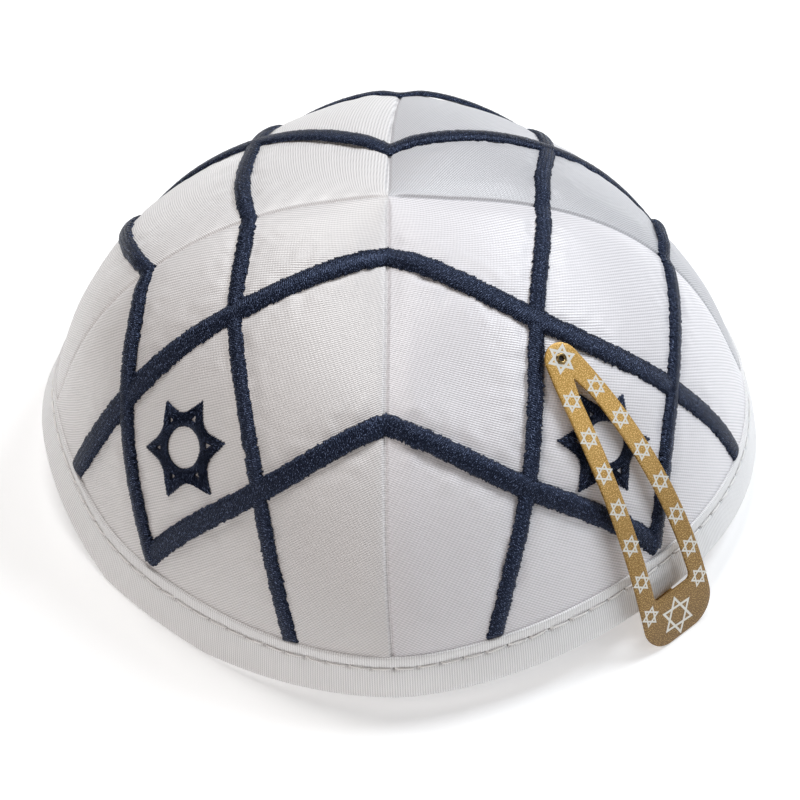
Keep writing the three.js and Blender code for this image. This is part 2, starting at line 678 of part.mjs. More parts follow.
// The tongue: from the plate, under the rim, and up inside the cap against the cloth.
function tongueGeometry() {
  const total = seamLength(CLIP_BEARING);
  const clear = PIECE_GAP + TONGUE_PLAY + CLIP_SHEET / 2;
  const level = -clear;
  const underFold = (off) => foldPoint(CLIP_BEARING, off, level);
  const inside = (above, off) => onProfile(CLIP_BEARING, total - above, off);
  const band = bandWidth(CLIP_BEARING);
  const behindFold = INNER_LEG_INSIDE - clear;
  const behindPanel = -PANEL_WALL - clear;
  const behindTuck = TUCKED_FACE - PANEL_WALL - clear;
  const outerFold = underFold(BINDING_RISE);
  const root = rootOnPlate(outerFold.z);
  const stops = [
    root,
    { r: lerp(root.r, outerFold.r, 0.5), z: outerFold.z },
    underFold(BINDING_RISE - FOLD_ROUND),
    underFold(INNER_LEG_INSIDE + FOLD_ROUND),
    foldPoint(CLIP_BEARING, behindFold, FOLD_ROUND),
    inside(band / 2, behindFold),
    inside(band - INNER_LEG_SETBACK, behindFold),
    inside(band + TUCK, lerp(behindFold, behindTuck, 0.5)),
    inside(band + 3 * TUCK, behindPanel),
    ...[0.33, 0.67].map((share) => inside(lerp(band + 3 * TUCK, TONGUE_REACH, share), behindPanel)),
    inside(TONGUE_REACH, behindPanel),
  ];
  const curve = new THREE.CatmullRomCurve3(stops.map((stop) => new THREE.Vector3(stop.r, stop.z, 0)));
  const count = 40;
  const rings = [];
  for (let i = 0; i <= count; i += 1) {
    const along = i / count;
    const middle = curve.getPointAt(along);
    const way = curve.getTangentAt(along);
    const half = lerp(TONGUE_ROOT_WIDTH, TONGUE_TIP_WIDTH, along) / 2;
    const narrow = along > TONGUE_END ? TONGUE_END_WIDTH : 1;
    const thick = CLIP_SHEET / 2;
    rings.push([[-1, 1], [1, 1], [1, -1], [-1, -1]].map(([aside, off]) => (
      inPlane(middle.x - way.y * off * thick, middle.y + way.x * off * thick, aside * half * narrow))));
  }
  return body(rings, false);
}

// The point in the thickness of the plate at a given height.
function rootOnPlate(height) {
  let s = CLIP_LENGTH;
  while (clipLine(s).point.y < height) {
    s -= 0.05;
  }
  const { point, out } = clipLine(s);
  return { r: point.x - out.x * CLIP_SHEET / 2, z: point.y - out.y * CLIP_SHEET / 2 };
}

function clipGeometry() {
  const frame = toSolid(clipSheet()).subtract(toSolid(slotCutter())).subtract(toSolid(eyeletCutter()));
  return toGeometry(frame.add(toSolid(tongueGeometry())));
}

// A rolled ring through the tip of the clip, with a flange on both faces.
function eyeletGeometry() {
  const bore = EYELET_BORE / 2;
  const barrel = bore + EYELET_WALL;
  const flange = EYELET_FLANGE / 2;
  const seat = CLIP_SHEET / 2 + EYELET_PLAY;
  const top = seat + FLANGE_THICKNESS;
  const outline = [
    [bore, -top], [flange, -top], [flange, -seat], [barrel, -seat],
    [barrel, seat], [flange, seat], [flange * 0.8, top], [bore, top], [bore, -top],
  ];
  const ring = new THREE.LatheGeometry(outline.map(([r, h]) => new THREE.Vector2(r, h)), 14);
  ring.deleteAttribute("normal");
  ring.deleteAttribute("uv");
  return seatEyelet(outward(mergeVertices(ring, MERGE_WITHIN)));
}

function add(name, geometry, material) {
  const mesh = new THREE.Mesh(geometry, material);
  mesh.name = name;
  kippah.add(mesh);
}

const kippah = new THREE.Group();
for (const panel of PANELS) {
  add(`panel_${panel.name}`, panelGeometry(panel), SATIN);
  add(`embroidery_${panel.name}`, embroideryGeometry(panel), THREAD);
  add(`star_${panel.name}`, starGeometry(panel), THREAD);
}
add("rim_binding", bindingGeometry(), TAPE);
add("snap_clip", clipGeometry(), GOLD);
add("clip_eyelet", eyeletGeometry(), BRASS);

export default kippah;
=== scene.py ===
"""A white satin skullcap with a stitched navy lattice, a bound rim and a gold snap clip."""

import math

import bpy
import numpy as np
from mathutils import Matrix, Vector, kdtree, noise


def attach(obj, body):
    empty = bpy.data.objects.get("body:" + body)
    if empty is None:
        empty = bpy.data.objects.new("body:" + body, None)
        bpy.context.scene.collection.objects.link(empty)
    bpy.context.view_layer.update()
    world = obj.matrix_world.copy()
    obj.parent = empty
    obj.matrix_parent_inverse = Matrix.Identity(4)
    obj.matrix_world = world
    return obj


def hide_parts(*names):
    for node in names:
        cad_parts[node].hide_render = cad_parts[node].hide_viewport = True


bl_info = {
    "name": "Satin skullcap",
    "version": (1, 0, 0),
    "blender": (4, 5, 0),
    "location": "3D View > Sidebar > Skullcap",
    "description": "Builds a four-panel satin skullcap with a stitched lattice and a snap clip",
    "category": "Object",
}

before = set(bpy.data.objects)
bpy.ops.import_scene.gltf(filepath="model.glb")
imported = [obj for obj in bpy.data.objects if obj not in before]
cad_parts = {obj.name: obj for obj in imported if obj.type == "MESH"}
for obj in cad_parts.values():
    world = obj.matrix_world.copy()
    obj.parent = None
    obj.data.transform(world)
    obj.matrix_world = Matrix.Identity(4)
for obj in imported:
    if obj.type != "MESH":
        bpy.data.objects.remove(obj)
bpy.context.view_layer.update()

MM = 0.001
QUARTER = 90.0  # degrees that one panel spans
PROFILE_STEPS = 240  # steps of a profile from the top to the rim
BLOCK = 4000  # points worked out at a time
WELD = 0.004 * MM  # points nearer than this become one
FULLNESS = 1.3  # how far a seam's shape reaches into its panels
PROFILE_CROWDING = 1.3  # how closely the steps crowd towards the top
SWAY_EASE = 1.3  # how late the sway sets in
SEAM_END = 0.94  # share of the way down where a seam's valley ends
SEAM_FADE = 0.1  # share of the way down over which it fades
FLARE_FADE = 5  # widths of the band from the rim to where its lean has faded

# The cap's outer face at the four seams and the four panel middles, every 45 degrees from the
# front seam towards the right. reach is a share of size, lift a share of the rim rise and band a
# share of the band width. sway and swing turn the profile, in degrees, halfway and at the rim.
# flare is how far the band leans out, as a share of its width.
STATION_COLUMNS = (
    "size", "reach", "lift", "crown", "shoulder", "sweep", "sway", "swing", "band", "flare",
)
STATIONS = (
    ("half_length", 1.0, 0.44, 2.05, 1.85, 0.96, -1.0, 0.0, 1.0, 0.0),
    ("panel_reach", 1.045, 0.69, 2.03, 2.5, 0.66, 0.5, 0.0, 0.88, 0.0),
    ("half_width", 1.0, 0.06, 1.86, 2.46, 0.84, 6.0, 0.0, 1.0, 0.0),
    ("panel_reach", 0.99, 0.0, 1.96, 2.68, 0.7, -4.0, 0.0, 1.0, 0.0),
    ("half_length", 1.0, 0.78, 2.0, 1.8, 0.96, -2.0, 0.0, 1.0, 0.0),
    ("panel_reach", 1.03, 0.0, 2.0, 2.2, 0.8, -2.0, 0.0, 1.0, 0.16),
    ("half_width", 0.992, 1.0, 2.25, 2.5, 0.96, 9.0, 6.0, 1.0, 0.28),
    ("panel_reach", 0.99, 0.0, 2.03, 2.68, 0.72, -1.0, 0.0, 1.14, 0.0),
)

# Places of the embroidery on each panel, as (towards the front or back seam, towards the side
# seam), in shares of the seam's length from the middle of the cap to the rim.
PANELS = (
    {
        "name": "front_right", "seam": 0, "turn": 1,
        "wide_inner": 0.147, "wide_outer": 0.482, "narrow_inner": 0.292, "narrow_outer": 0.584,
        "cross": (0.279, 0.283), "front_cross": (0.6, 0.281), "side_cross": (0.323, 0.597),
        "corner": (0.643, 0.619), "front_end": (0.883, 0.229), "side_end": (0.316, 0.838),
        "star": (0.487, 0.447),
    },
    {
        "name": "front_left", "seam": 0, "turn": -1,
        "wide_inner": 0.147, "wide_outer": 0.482, "narrow_inner": 0.274, "narrow_outer": 0.496,
        "cross": (0.238, 0.29), "front_cross": (0.586, 0.265), "side_cross": (0.266, 0.594),
        "corner": (0.625, 0.607), "front_end": (0.885, 0.24), "side_end": (0.236, 0.797),
        "star": (0.461, 0.436),
    },
    {
        "name": "back_right", "seam": 180, "turn": -1,
        "wide_inner": 0.168, "wide_outer": 0.547, "narrow_inner": 0.292, "narrow_outer": 0.584,
        "cross": (0.274, 0.306), "front_cross": (0.625, 0.285), "side_cross": (0.414, 0.633),
        "corner": (0.645, 0.615), "front_end": (0.88, 0.24), "side_end": (0.37, 0.83),
        "star": (0.496, 0.462),
    },
    {
        "name": "back_left", "seam": 180, "turn": 1,
        "wide_inner": 0.168, "wide_outer": 0.547, "narrow_inner": 0.274, "narrow_outer": 0.496,
        "cross": (0.31, 0.288), "front_cross": (0.635, 0.28), "side_cross": (0.404, 0.605),
        "corner": (0.65, 0.615), "front_end": (0.88, 0.24), "side_end": (0.36, 0.81),
        "star": (0.506, 0.448),
    },
)


def length(name, description, default):
    """A size in metres, shown as a length."""
    return bpy.props.FloatProperty(
        name=name, description=description, default=default, unit="LENGTH", precision=5
    )


def colour(name, description, default):
    """A linear colour."""
    return bpy.props.FloatVectorProperty(
        name=name, description=description, default=default, size=3, subtype="COLOR", min=0.0, max=1.0
    )


class CapSizes(bpy.types.PropertyGroup):
    """Sizes of the cloth cap."""

    half_length: length("Half length", "Axis to the front and the back of the rim", 0.0765)
    half_width: length("Half width", "Axis to the right and the left of the rim", 0.0723)
    panel_reach: length("Panel reach", "Axis to the rim in the middle of a panel", 0.071)
    height: length("Height", "Table to the point where the seams meet", 0.061)
    rim_rise: length("Rim rise", "How far the left side of the rim stands off the table", 0.0095)
    panel_wall: length("Panel wall", "Satin and its backing", 0.001)
    seam_depth: length("Seam depth", "How far the seams pull in", 0.0008)
    seam_spread: length("Seam spread", "Half width of the valley along a seam", 0.003)
    crease_depth: length("Crease depth", "Depth of the sewn line in that valley", 0.0005)
    crease_spread: length("Crease spread", "Half width of the sewn line", 0.00035)
    band_width: length("Band width", "Visible width of the binding", 0.0095)
    binding_rise: length("Binding rise", "Binding above the panel's face", 0.0002)
    binding_depth: length("Binding depth", "Panel's face to the inside of the fold", 0.0034)
    lip_rise: length("Lip rise", "Rolled inner edge of the binding above the panel's face", 0.00055)
    fold_round: length("Fold round", "Rounding of the fold at the table", 0.0007)
    press: length("Press", "Cloth nearer the table than this is pressed flat on it", 0.00065)
    tape: length("Tape", "Thickness of the binding's cloth", 0.0006)
    stitch_pitch: length("Stitch pitch", "Spacing of the top stitches", 0.0043)
    stitch_length: length("Stitch length", "Length of a top stitch", 0.0039)


class StitchSizes(bpy.types.PropertyGroup):
    """Sizes of the embroidery."""

    wide: length("Wide line", "Lines that start at the front and back seams", 0.0042)
    narrow: length("Narrow line", "Lines that start at the side seams", 0.0032)
    rise: length("Rise", "Height of the satin stitch", 0.0009)
    star_rise: length("Star rise", "Height of a star", 0.0006)
    thread: length("Thread", "Spacing of the threads", 0.00042)
    star_reach: length("Star reach", "Centre of a star to its tip", 0.0105)
    star_hole: length("Star hole", "Centre of a star to a corner of its hole", 0.0043)


class ClipSizes(bpy.types.PropertyGroup):
    """Sizes of the snap clip."""

    bearing: bpy.props.FloatProperty(
        name="Bearing", description="Degrees from the front seam towards the right", default=42.8
    )
    long: length("Length", "Tip to wide end, along the clip", 0.0637)
    bend: length("Bend", "Radius of its lengthwise curve", 0.1)
    sheet: length("Sheet", "Thickness of the steel", 0.0005)
    tip_width: length("Tip width", "Width at the tip", 0.0057)
    end_width: length("End width", "Width at the wide end", 0.0173)
    belly: length("Belly", "How far its sides bow out in the middle", 0.0022)
    corner: length("Corner", "Rounding of the wide end", 0.0055)
    leg: length("Leg", "Width of each side of the frame", 0.0038)
    left_press: length("Left press", "How far the left leg is pressed in halfway down", 0.0012)
    slot_head: length("Slot head", "Tip of the clip to the tip of its opening", 0.0076)
    plate: length("Plate", "Closed plate at the wide end", 0.0099)
    slot_corner: length("Slot corner", "Rounding of the opening at the plate", 0.0012)
    tip_stand: length("Tip stand", "Sheet above the cloth at the tip", 0.0017)
    clearance: length("Clearance", "Least height of the sheet above the cloth", 0.0014)
    tongue_reach: length("Tongue reach", "Rim to the end of the tongue, inside the cap", 0.04)
    eyelet_place: length("Eyelet place", "Tip of the clip to the eyelet's centre", 0.0031)
    eyelet_radius: length("Eyelet radius", "Outer radius of the eyelet's flange", 0.0011)
    eyelet_bore: length("Eyelet bore", "Radius of the hole through the eyelet", 0.0005)


class CapColours(bpy.types.PropertyGroup):
    """Base colours of the finishes."""

    satin: colour("Satin", "White satin of the panels", (0.75, 0.745, 0.75))
    tape: colour("Binding", "White satin of the binding", (0.84, 0.825, 0.83))
    thread: colour("Thread", "Navy embroidery thread", (0.002, 0.003, 0.009))
    # Painted glints: the bright specks of lit strands, painted into the navy thread's colour
    glint: colour("Thread glint", "Lit strands of the navy thread", (0.2, 0.25, 0.4))
    top_stitch: colour("Top stitch", "White sewing thread", (0.98, 0.96, 0.94))
    gold: colour("Clip gold", "Mustard gold lacquer", (0.46, 0.255, 0.048))
    gold_light: colour("Clip speckle", "Bright grains of the lacquer", (0.92, 0.62, 0.24))
    # The clip's colour is darker and browner towards its wide end
    gold_dark: colour("Clip shade", "Browner lacquer at the wide end", (0.17, 0.095, 0.032))
    ink: colour("Print", "Pale print on the clip", (0.78, 0.76, 0.7))
    brass: colour("Eyelet", "Brass of the eyelet", (0.33, 0.23, 0.1))
    # Painted shade: the dark of the hole through the eyelet, on a disc that closes its bore
    bore: colour("Eyelet bore", "Tarnish deep in the eyelet", (0.02, 0.015, 0.012))
    floor: colour("Floor", "Plain white table", (0.9, 0.9, 0.9))


def sizes():
    return bpy.context.scene.cap_sizes


def stitching():
    return bpy.context.scene.stitch_sizes


def clip_sizes():
    return bpy.context.scene.clip_sizes


def colours():
    return bpy.context.scene.cap_colours


# The shape of the cloth
def station_values(column):
    """One column of the table, with sizes read from the settings."""
    place = STATION_COLUMNS.index(column)
    if column == "size":
        return np.array([getattr(sizes(), row[place]) for row in STATIONS])
    return np.array([row[place] for row in STATIONS])


def eased(bearing, column):
    """A value of the table between its stations, easing in and out of each."""
    turn = np.mod(bearing, 360.0) / 360.0 * len(STATIONS)
    before = np.floor(turn).astype(int) % len(STATIONS)
    after = (before + 1) % len(STATIONS)
    ease = (1 - np.cos(np.pi * (turn - np.floor(turn)))) / 2
    values = station_values(column)
    return values[before] * (1 - ease) + values[after] * ease


def fullness(bearing):
    """How far a bearing is towards the middle of its panel: 0 on a seam, 1 halfway."""
    return np.abs(np.sin(np.radians(2 * bearing))) ** FULLNESS


def from_seam(bearing):
    """Sine of the angle between a bearing and the nearest seam."""
    return np.abs(np.sin(np.radians(bearing - np.round(bearing / QUARTER) * QUARTER)))


def neighbours(bearing):
    """The numbers of the seam station and of the panel middle that shape each bearing."""
    turn = np.mod(bearing, 360.0)
    middle = np.floor(turn / QUARTER).astype(int) * 2 + 1
    seam = np.round(turn / QUARTER).astype(int) * 2
    return seam % len(STATIONS), middle % len(STATIONS)


def station_curves(station, share):
    """r and z of stations at shares of the way down, as rows."""
    reach = (station_values("size") * station_values("reach"))[station][:, None]
    lift = (station_values("lift") * sizes().rim_rise)[station][:, None]
    crown = station_values("crown")[station][:, None]
    shoulder = station_values("shoulder")[station][:, None]
    last = (station_values("sweep") * np.pi / 2)[station][:, None]
    angle = share[None, :] * last
    drop = np.abs(np.cos(angle)) ** (2 / crown)
    last_drop = np.abs(np.cos(last)) ** (2 / crown)
    r = reach * (np.sin(angle) / np.sin(last)) ** (2 / shoulder)
    z = lift + (sizes().height - lift) * (drop - last_drop) / (1 - last_drop)
    return r, z


def measured(r, z):
    """Length along each row from the top, and the unit tangent."""
    step = np.hypot(np.diff(r, axis=1), np.diff(z, axis=1))
    s = np.concatenate([np.zeros((len(r), 1)), np.cumsum(step, axis=1)], axis=1)

    def change(values):
        before = np.concatenate([values[:, :1], values[:, :-1]], axis=1)
        after = np.concatenate([values[:, 1:], values[:, -1:]], axis=1)
        return after - before

    dr = change(r)
    dz = change(z)
    size = np.maximum(np.hypot(dr, dz), 1e-12)
    tr = dr / size
    tz = dz / size
    tr[:, 0] = 1.0
    tz[:, 0] = 0.0
    return s, tr, tz


def band_lean(bearing, to_rim):
    """How far the cloth is drawn in above the rim where the band flares, widest at its inner edge."""
    inner = sizes().band_width
    rising = np.sin(np.clip(to_rim / inner, 0, 1) * np.pi / 2)
    fading = 1 - smooth(inner, FLARE_FADE * inner, to_rim)
    return eased(bearing, "flare")[:, None] * inner * rising * fading


def profile(bearing):
    """The outer face over each bearing, from the top down: r, z, s and the unit tangent."""
    seam, middle = neighbours(bearing)
    full = fullness(bearing)[:, None]
    share = np.linspace(0, 1, PROFILE_STEPS + 1) ** PROFILE_CROWDING
    seam_r, seam_z = station_curves(seam, share)
    middle_r, middle_z = station_curves(middle, share)
    r = seam_r * (1 - full) + middle_r * full
    z = seam_z * (1 - full) + middle_z * full
    s, tr, tz = measured(r, z)
    r = r - band_lean(bearing, s[:, -1:] - s)
    s, tr, tz = measured(r, z)
    spread = sizes().seam_spread
    near = np.exp(-((r * from_seam(bearing)[:, None] / spread) ** 2))
    top_fade = np.clip(r / (4 * spread), 0, 1)
    rim_fade = np.clip((SEAM_END - s / s[:, -1:]) / SEAM_FADE, 0, 1)
    dent = sizes().seam_depth * near * (top_fade * rim_fade)
    r = r + tz * dent
    z = z - tr * dent
    r[:, 0] = 0.0
    s, tr, tz = measured(r, z)
    return r, z, s, tr, tz


def seam_length(bearing):
    """Length of the profile over each bearing, from the top to the rim."""
    places, which = np.unique(np.atleast_1d(np.asarray(bearing, float)), return_inverse=True)
    return blockwise(lambda part: profile(part)[2][:, -1], places)[which]


def blockwise(work, *arrays):
    """Runs work on parts of long arrays and joins what it returns."""
    parts = [work(*(array[i:i + BLOCK] for array in arrays)) for i in range(0, len(arrays[0]), BLOCK)]
    if isinstance(parts[0], tuple):
        return tuple(np.concatenate(column) for column in zip(*parts))
    return np.concatenate(parts)


def on_profile(bearing, s, off):
    """r and z of points s along the outer face and off away from it."""

    def work(bearing, s, off):
        places, rows = np.unique(bearing, return_inverse=True)
        r, z, lengths, tr, tz = profile(places)
        index = np.clip((lengths[rows] < s[:, None]).sum(axis=1) - 1, 0, PROFILE_STEPS - 1)
        start = lengths[rows, index]
        share = np.maximum((s - start) / (lengths[rows, index + 1] - start), 0)
        turn = np.minimum(share, 1)

        def blend(values, amount):
            return values[rows, index] * (1 - amount) + values[rows, index + 1] * amount

        return (
            blend(r, share) - blend(tz, turn) * off,
            blend(z, share) + blend(tr, turn) * off,
        )

    bearing, s, off = np.broadcast_arrays(*(np.asarray(value, float) for value in (bearing, s, off)))
    return blockwise(work, np.ravel(bearing), np.ravel(s), np.ravel(off))


def placed(bearing, share, r, z):
    """Turns points of the profile plane out to their bearings."""
    share = np.minimum(share, 1)
    sway = eased(bearing, "sway") * np.sin(np.pi * np.maximum(share, 0) ** SWAY_EASE)
    swing = eased(bearing, "swing") * share ** 2
    angle = np.radians(bearing + sway + swing)
    return np.stack([r * np.sin(angle), -r * np.cos(angle), z], axis=1)


def skin(bearing, share, off):
    """Points on the cap: share of the way down, and off away from the outer face."""
    bearing, share, off = (np.ravel(v) for v in np.broadcast_arrays(bearing, share, off))
    r, z = on_profile(bearing, share * seam_length(bearing), off)
    return placed(bearing, share, r, z)


def fold_height(bearing):
    """Height of the fold's underside: flat on the table where the cloth comes near it."""
    seam, middle = neighbours(bearing)
    full = fullness(bearing)
    lifts = station_values("lift") * sizes().rim_rise
    lift = np.maximum(lifts[seam] * (1 - full) + lifts[middle] * full, 1e-9)
    return np.maximum(lift - sizes().press ** 2 / lift, 0)


def fold_point(bearing, off, up):
    """r and z at the rim, level with the rest of the fold."""
    total = seam_length(bearing)
    end_r, end_z = on_profile(bearing, total, off)
    above_r, above_z = on_profile(bearing, total - MM, off)
    share = (fold_height(bearing) + up - end_z) / (above_z - end_z)
    return end_r * (1 - share) + above_r * share, end_z * (1 - share) + above_z * share


def band_width(bearing):
    return sizes().band_width * eased(bearing, "band")


def smooth(low, high, value):
    share = np.clip((value - low) / (high - low), 0, 1)
    return share * share * (3 - 2 * share)


# Meshes
def shaped_grid(name, columns, rows):
    """A grid primitive of that many points each way, ready to be shaped point by point."""
    bpy.ops.object.select_all(action="DESELECT")
    bpy.ops.mesh.primitive_grid_add(x_subdivisions=columns - 1, y_subdivisions=rows - 1, size=1.0)
    piece = bpy.context.active_object
    piece.name = name
    piece.data.name = name
    return piece


def grid_places(piece, columns, rows):
    """Column and row of each point of a new grid, as whole numbers."""
    corners = np.empty(len(piece.data.vertices) * 3, np.float32)
    piece.data.vertices.foreach_get("co", corners)
    corners = corners.reshape(-1, 3)
    column = np.rint((corners[:, 0] + 0.5) * (columns - 1)).astype(int)
    row = np.rint((corners[:, 1] + 0.5) * (rows - 1)).astype(int)
    return column, row


def set_points(piece, points):
    piece.data.vertices.foreach_set("co", points.astype(np.float32).ravel())
    piece.data.update()


def grid_piece(name, points):
    """A grid primitive shaped by rows of points."""
    rows, columns = points.shape[:2]
    piece = shaped_grid(name, columns, rows)
    column, row = grid_places(piece, columns, rows)
    set_points(piece, points[row, column])
    return piece


def capped_rings(name, rings, start, finish):
    """A tube through rings of points, drawn together at a point at each end."""
    count = rings.shape[1]
    first = np.repeat(start[None, None, :], count, axis=1)
    last = np.repeat(finish[None, None, :], count, axis=1)
    return grid_piece(name, np.concatenate([first, rings, last], axis=0))


def scale_uv(piece, wide, high):
    """Makes the piece's UV map real sizes, in millimetres."""
    layer = piece.data.uv_layers.active
    values = np.empty(len(layer.data) * 2, np.float32)
    layer.data.foreach_get("uv", values)
    values = values.reshape(-1, 2) * np.array([wide / MM, high / MM], np.float32)
    layer.data.foreach_set("uv", values.ravel())


def set_uv(piece, u, v):
    """Gives each point of a new piece its own place on the UV map, in millimetres."""
    layer = piece.data.uv_layers.active
    corners = np.empty(len(layer.data), np.int32)
    piece.data.loops.foreach_get("vertex_index", corners)
    values = np.stack([u[corners], v[corners]], axis=1) / MM
    layer.data.foreach_set("uv", values.astype(np.float32).ravel())


def edit_all(piece, *steps):
    """Runs edit mode steps on the whole of a piece."""
    bpy.ops.object.select_all(action="DESELECT")
    piece.select_set(True)
    bpy.context.view_layer.objects.active = piece
    bpy.ops.object.mode_set(mode="EDIT")
    bpy.ops.mesh.select_all(action="SELECT")
    for step in steps:
        step()
    bpy.ops.object.mode_set(mode="OBJECT")


def weld(piece, distance):
    edit_all(piece, lambda: bpy.ops.mesh.remove_doubles(threshold=distance))


def face_away_from(piece, centre):
    """Flips an open sheet if its faces look towards a point."""
    total = 0.0
    for face in piece.data.polygons:
        total += face.area * (face.center - centre).dot(face.normal)
    if total < 0:
        edit_all(piece, bpy.ops.mesh.flip_normals)


def make_outward(piece):
    edit_all(piece, lambda: bpy.ops.mesh.normals_make_consistent(inside=False))


def apply_modifier(piece, kind, **settings):
    """Adds a modifier, sets it up and applies it."""
    bpy.ops.object.select_all(action="DESELECT")
    piece.select_set(True)
    bpy.context.view_layer.objects.active = piece
    modifier = piece.modifiers.new(kind.title(), kind)
    for key, value in settings.items():
        setattr(modifier, key, value)
    bpy.ops.object.modifier_apply(modifier=modifier.name)
    if not piece.data.polygons:
        raise RuntimeError(f"{piece.name} was lost in its {kind.lower()} modifier")


def smooth_shade(piece, degrees):
    bpy.ops.object.select_all(action="DESELECT")
    piece.select_set(True)
    bpy.context.view_layer.objects.active = piece
    bpy.ops.object.shade_smooth_by_angle(angle=math.radians(degrees))


def hand_over(piece, material, slot, *nodes):
    """Gives a finished piece its material and body, and hides the nodes it stands for. Its slot is
    not used.
    """
    if not piece.data.polygons:
        raise RuntimeError(f"{piece.name} has no faces")
    piece.data.materials.clear()
    piece.data.materials.append(material)
    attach(piece, "root")
    if nodes:
        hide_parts(*nodes)


def joined(name, pieces):
    """Joins pieces into one object."""
    bpy.ops.object.select_all(action="DESELECT")
    for piece in pieces:
        piece.select_set(True)
    bpy.context.view_layer.objects.active = pieces[0]
    bpy.ops.object.join()
    pieces[0].name = name
    pieces[0].data.name = name
    return pieces[0]


# Materials
def new_material(name):
    material = bpy.data.materials.new(name)
    material.use_nodes = True
    tree = material.node_tree
    return material, tree, tree.nodes["Principled BSDF"]


def group_socket(group, name, direction, kind, default=None):
    socket = group.interface.new_socket(name=name, in_out=direction, socket_type=kind)
    if default is not None:
        socket.default_value = default
    return socket


def math_node(tree, operation, first, second=None, third=None):
    """A maths node fed by sockets or plain numbers."""
    node = tree.nodes.new("ShaderNodeMath")
    node.operation = operation
    for place, value in enumerate((first, second, third)):
        if value is None:
            continue
        if isinstance(value, (int, float)):
            node.inputs[place].default_value = value
        else:
            tree.links.new(value, node.inputs[place])
    return node.outputs[0]


def clamped(tree, value):
    """A socket's value, held between 0 and 1."""
    node = tree.nodes.new("ShaderNodeClamp")
    tree.links.new(value, node.inputs["Value"])
    return node.outputs[0]


NOISE_DETAIL = 2.0
FINE_DETAIL = 3.0


def noise_node(tree, place, scale, detail):
    node = tree.nodes.new("ShaderNodeTexNoise")
    node.inputs["Scale"].default_value = scale
    node.inputs["Detail"].default_value = detail
    tree.links.new(place, node.inputs["Vector"])
    return node.outputs["Fac"]


def stretched(tree, x, wide, y, high):
    """A place whose two sides are stretched, each by its own number."""
    place = tree.nodes.new("ShaderNodeCombineXYZ")
    tree.links.new(math_node(tree, "MULTIPLY", x, wide), place.inputs["X"])
    tree.links.new(math_node(tree, "MULTIPLY", y, high), place.inputs["Y"])
    return place.outputs[0]


def wave_node(tree, place, pitch, turn):
    """The sine of that turn for every pitch of the place."""
    turns = math_node(tree, "DIVIDE", place, pitch)
    return math_node(tree, "SINE", math_node(tree, "MULTIPLY", turns, turn))


def pattern_group(name, pitch, slant, second):
    """A new node group for a pattern on a map in millimetres, with its ends and the split map."""
    group = bpy.data.node_groups.new(name, "ShaderNodeTree")
    group_socket(group, "Map", "INPUT", "NodeSocketVector")
    group_socket(group, "Pitch", "INPUT", "NodeSocketFloat", pitch)
    group_socket(group, "Slant", "INPUT", "NodeSocketFloat", slant)
    group_socket(group, "Height", "OUTPUT", "NodeSocketFloat")
    group_socket(group, second, "OUTPUT", "NodeSocketFloat")
    source = group.nodes.new("NodeGroupInput")
    sink = group.nodes.new("NodeGroupOutput")
    split = group.nodes.new("ShaderNodeSeparateXYZ")
    group.links.new(source.outputs["Map"], split.inputs[0])
    return group, source, sink, split


# The weave's shading, painted into the satin's colour: painted shade and highlight on the floats and
# picks, and slanted streaks of painted sheen
PICK_SLANT = 0.9  # how steeply the picks cross the floats
PICK_HEIGHT = 0.28  # as a share of a float's height
STREAK_STRETCH = (2.2, 0.12)  # across the floats and along them
STREAK_SCALE = 0.9
STREAK_SHEEN = 0.25
PLAIN_TONE = 0.375
WEAVE_TONE = 0.36


def weave_group():
    """Fine satin weave on a map in millimetres: slanted floats crossed by finer picks, as Height for
    the bump, and as painted shade and highlight of the floats with slanted streaks of painted sheen
    for the colour.
    """
    group, source, sink, split = pattern_group("satin_weave", 0.36, 0.7, "Tone")
    pitch = source.outputs["Pitch"]
    slant = source.outputs["Slant"]
    slanted = math_node(group, "MULTIPLY_ADD", split.outputs["Y"], slant, split.outputs["X"])
    crossed = math_node(group, "MULTIPLY_ADD", split.outputs["X"], PICK_SLANT, split.outputs["Y"])
    floats = wave_node(group, slanted, pitch, 2 * math.pi)
    picks = wave_node(group, crossed, pitch, 2 * math.pi)
    both = math_node(group, "MULTIPLY_ADD", picks, PICK_HEIGHT, floats)
    group.links.new(both, sink.inputs["Height"])
    across, along = STREAK_STRETCH
    place = stretched(group, slanted, across, crossed, along)
    streak = noise_node(group, place, STREAK_SCALE, FINE_DETAIL)
    streaked = math_node(group, "MULTIPLY_ADD", streak, STREAK_SHEEN, PLAIN_TONE)
    painted_shading = math_node(group, "MULTIPLY_ADD", both, WEAVE_TONE, streaked)
    group.links.new(clamped(group, painted_shading), sink.inputs["Tone"])
    return group


WANDER = 0.5  # how far a strand strays, in millimetres
WANDER_SCALE = 1.6
SPECK_STRETCHES = ((2.2, 6.0), (5.5, 4.6))  # along the strands and across them
SPECK_GAIN = 11.0  # how sharply a speck begins
SPECK_CUT = -12.45  # lower for fewer specks


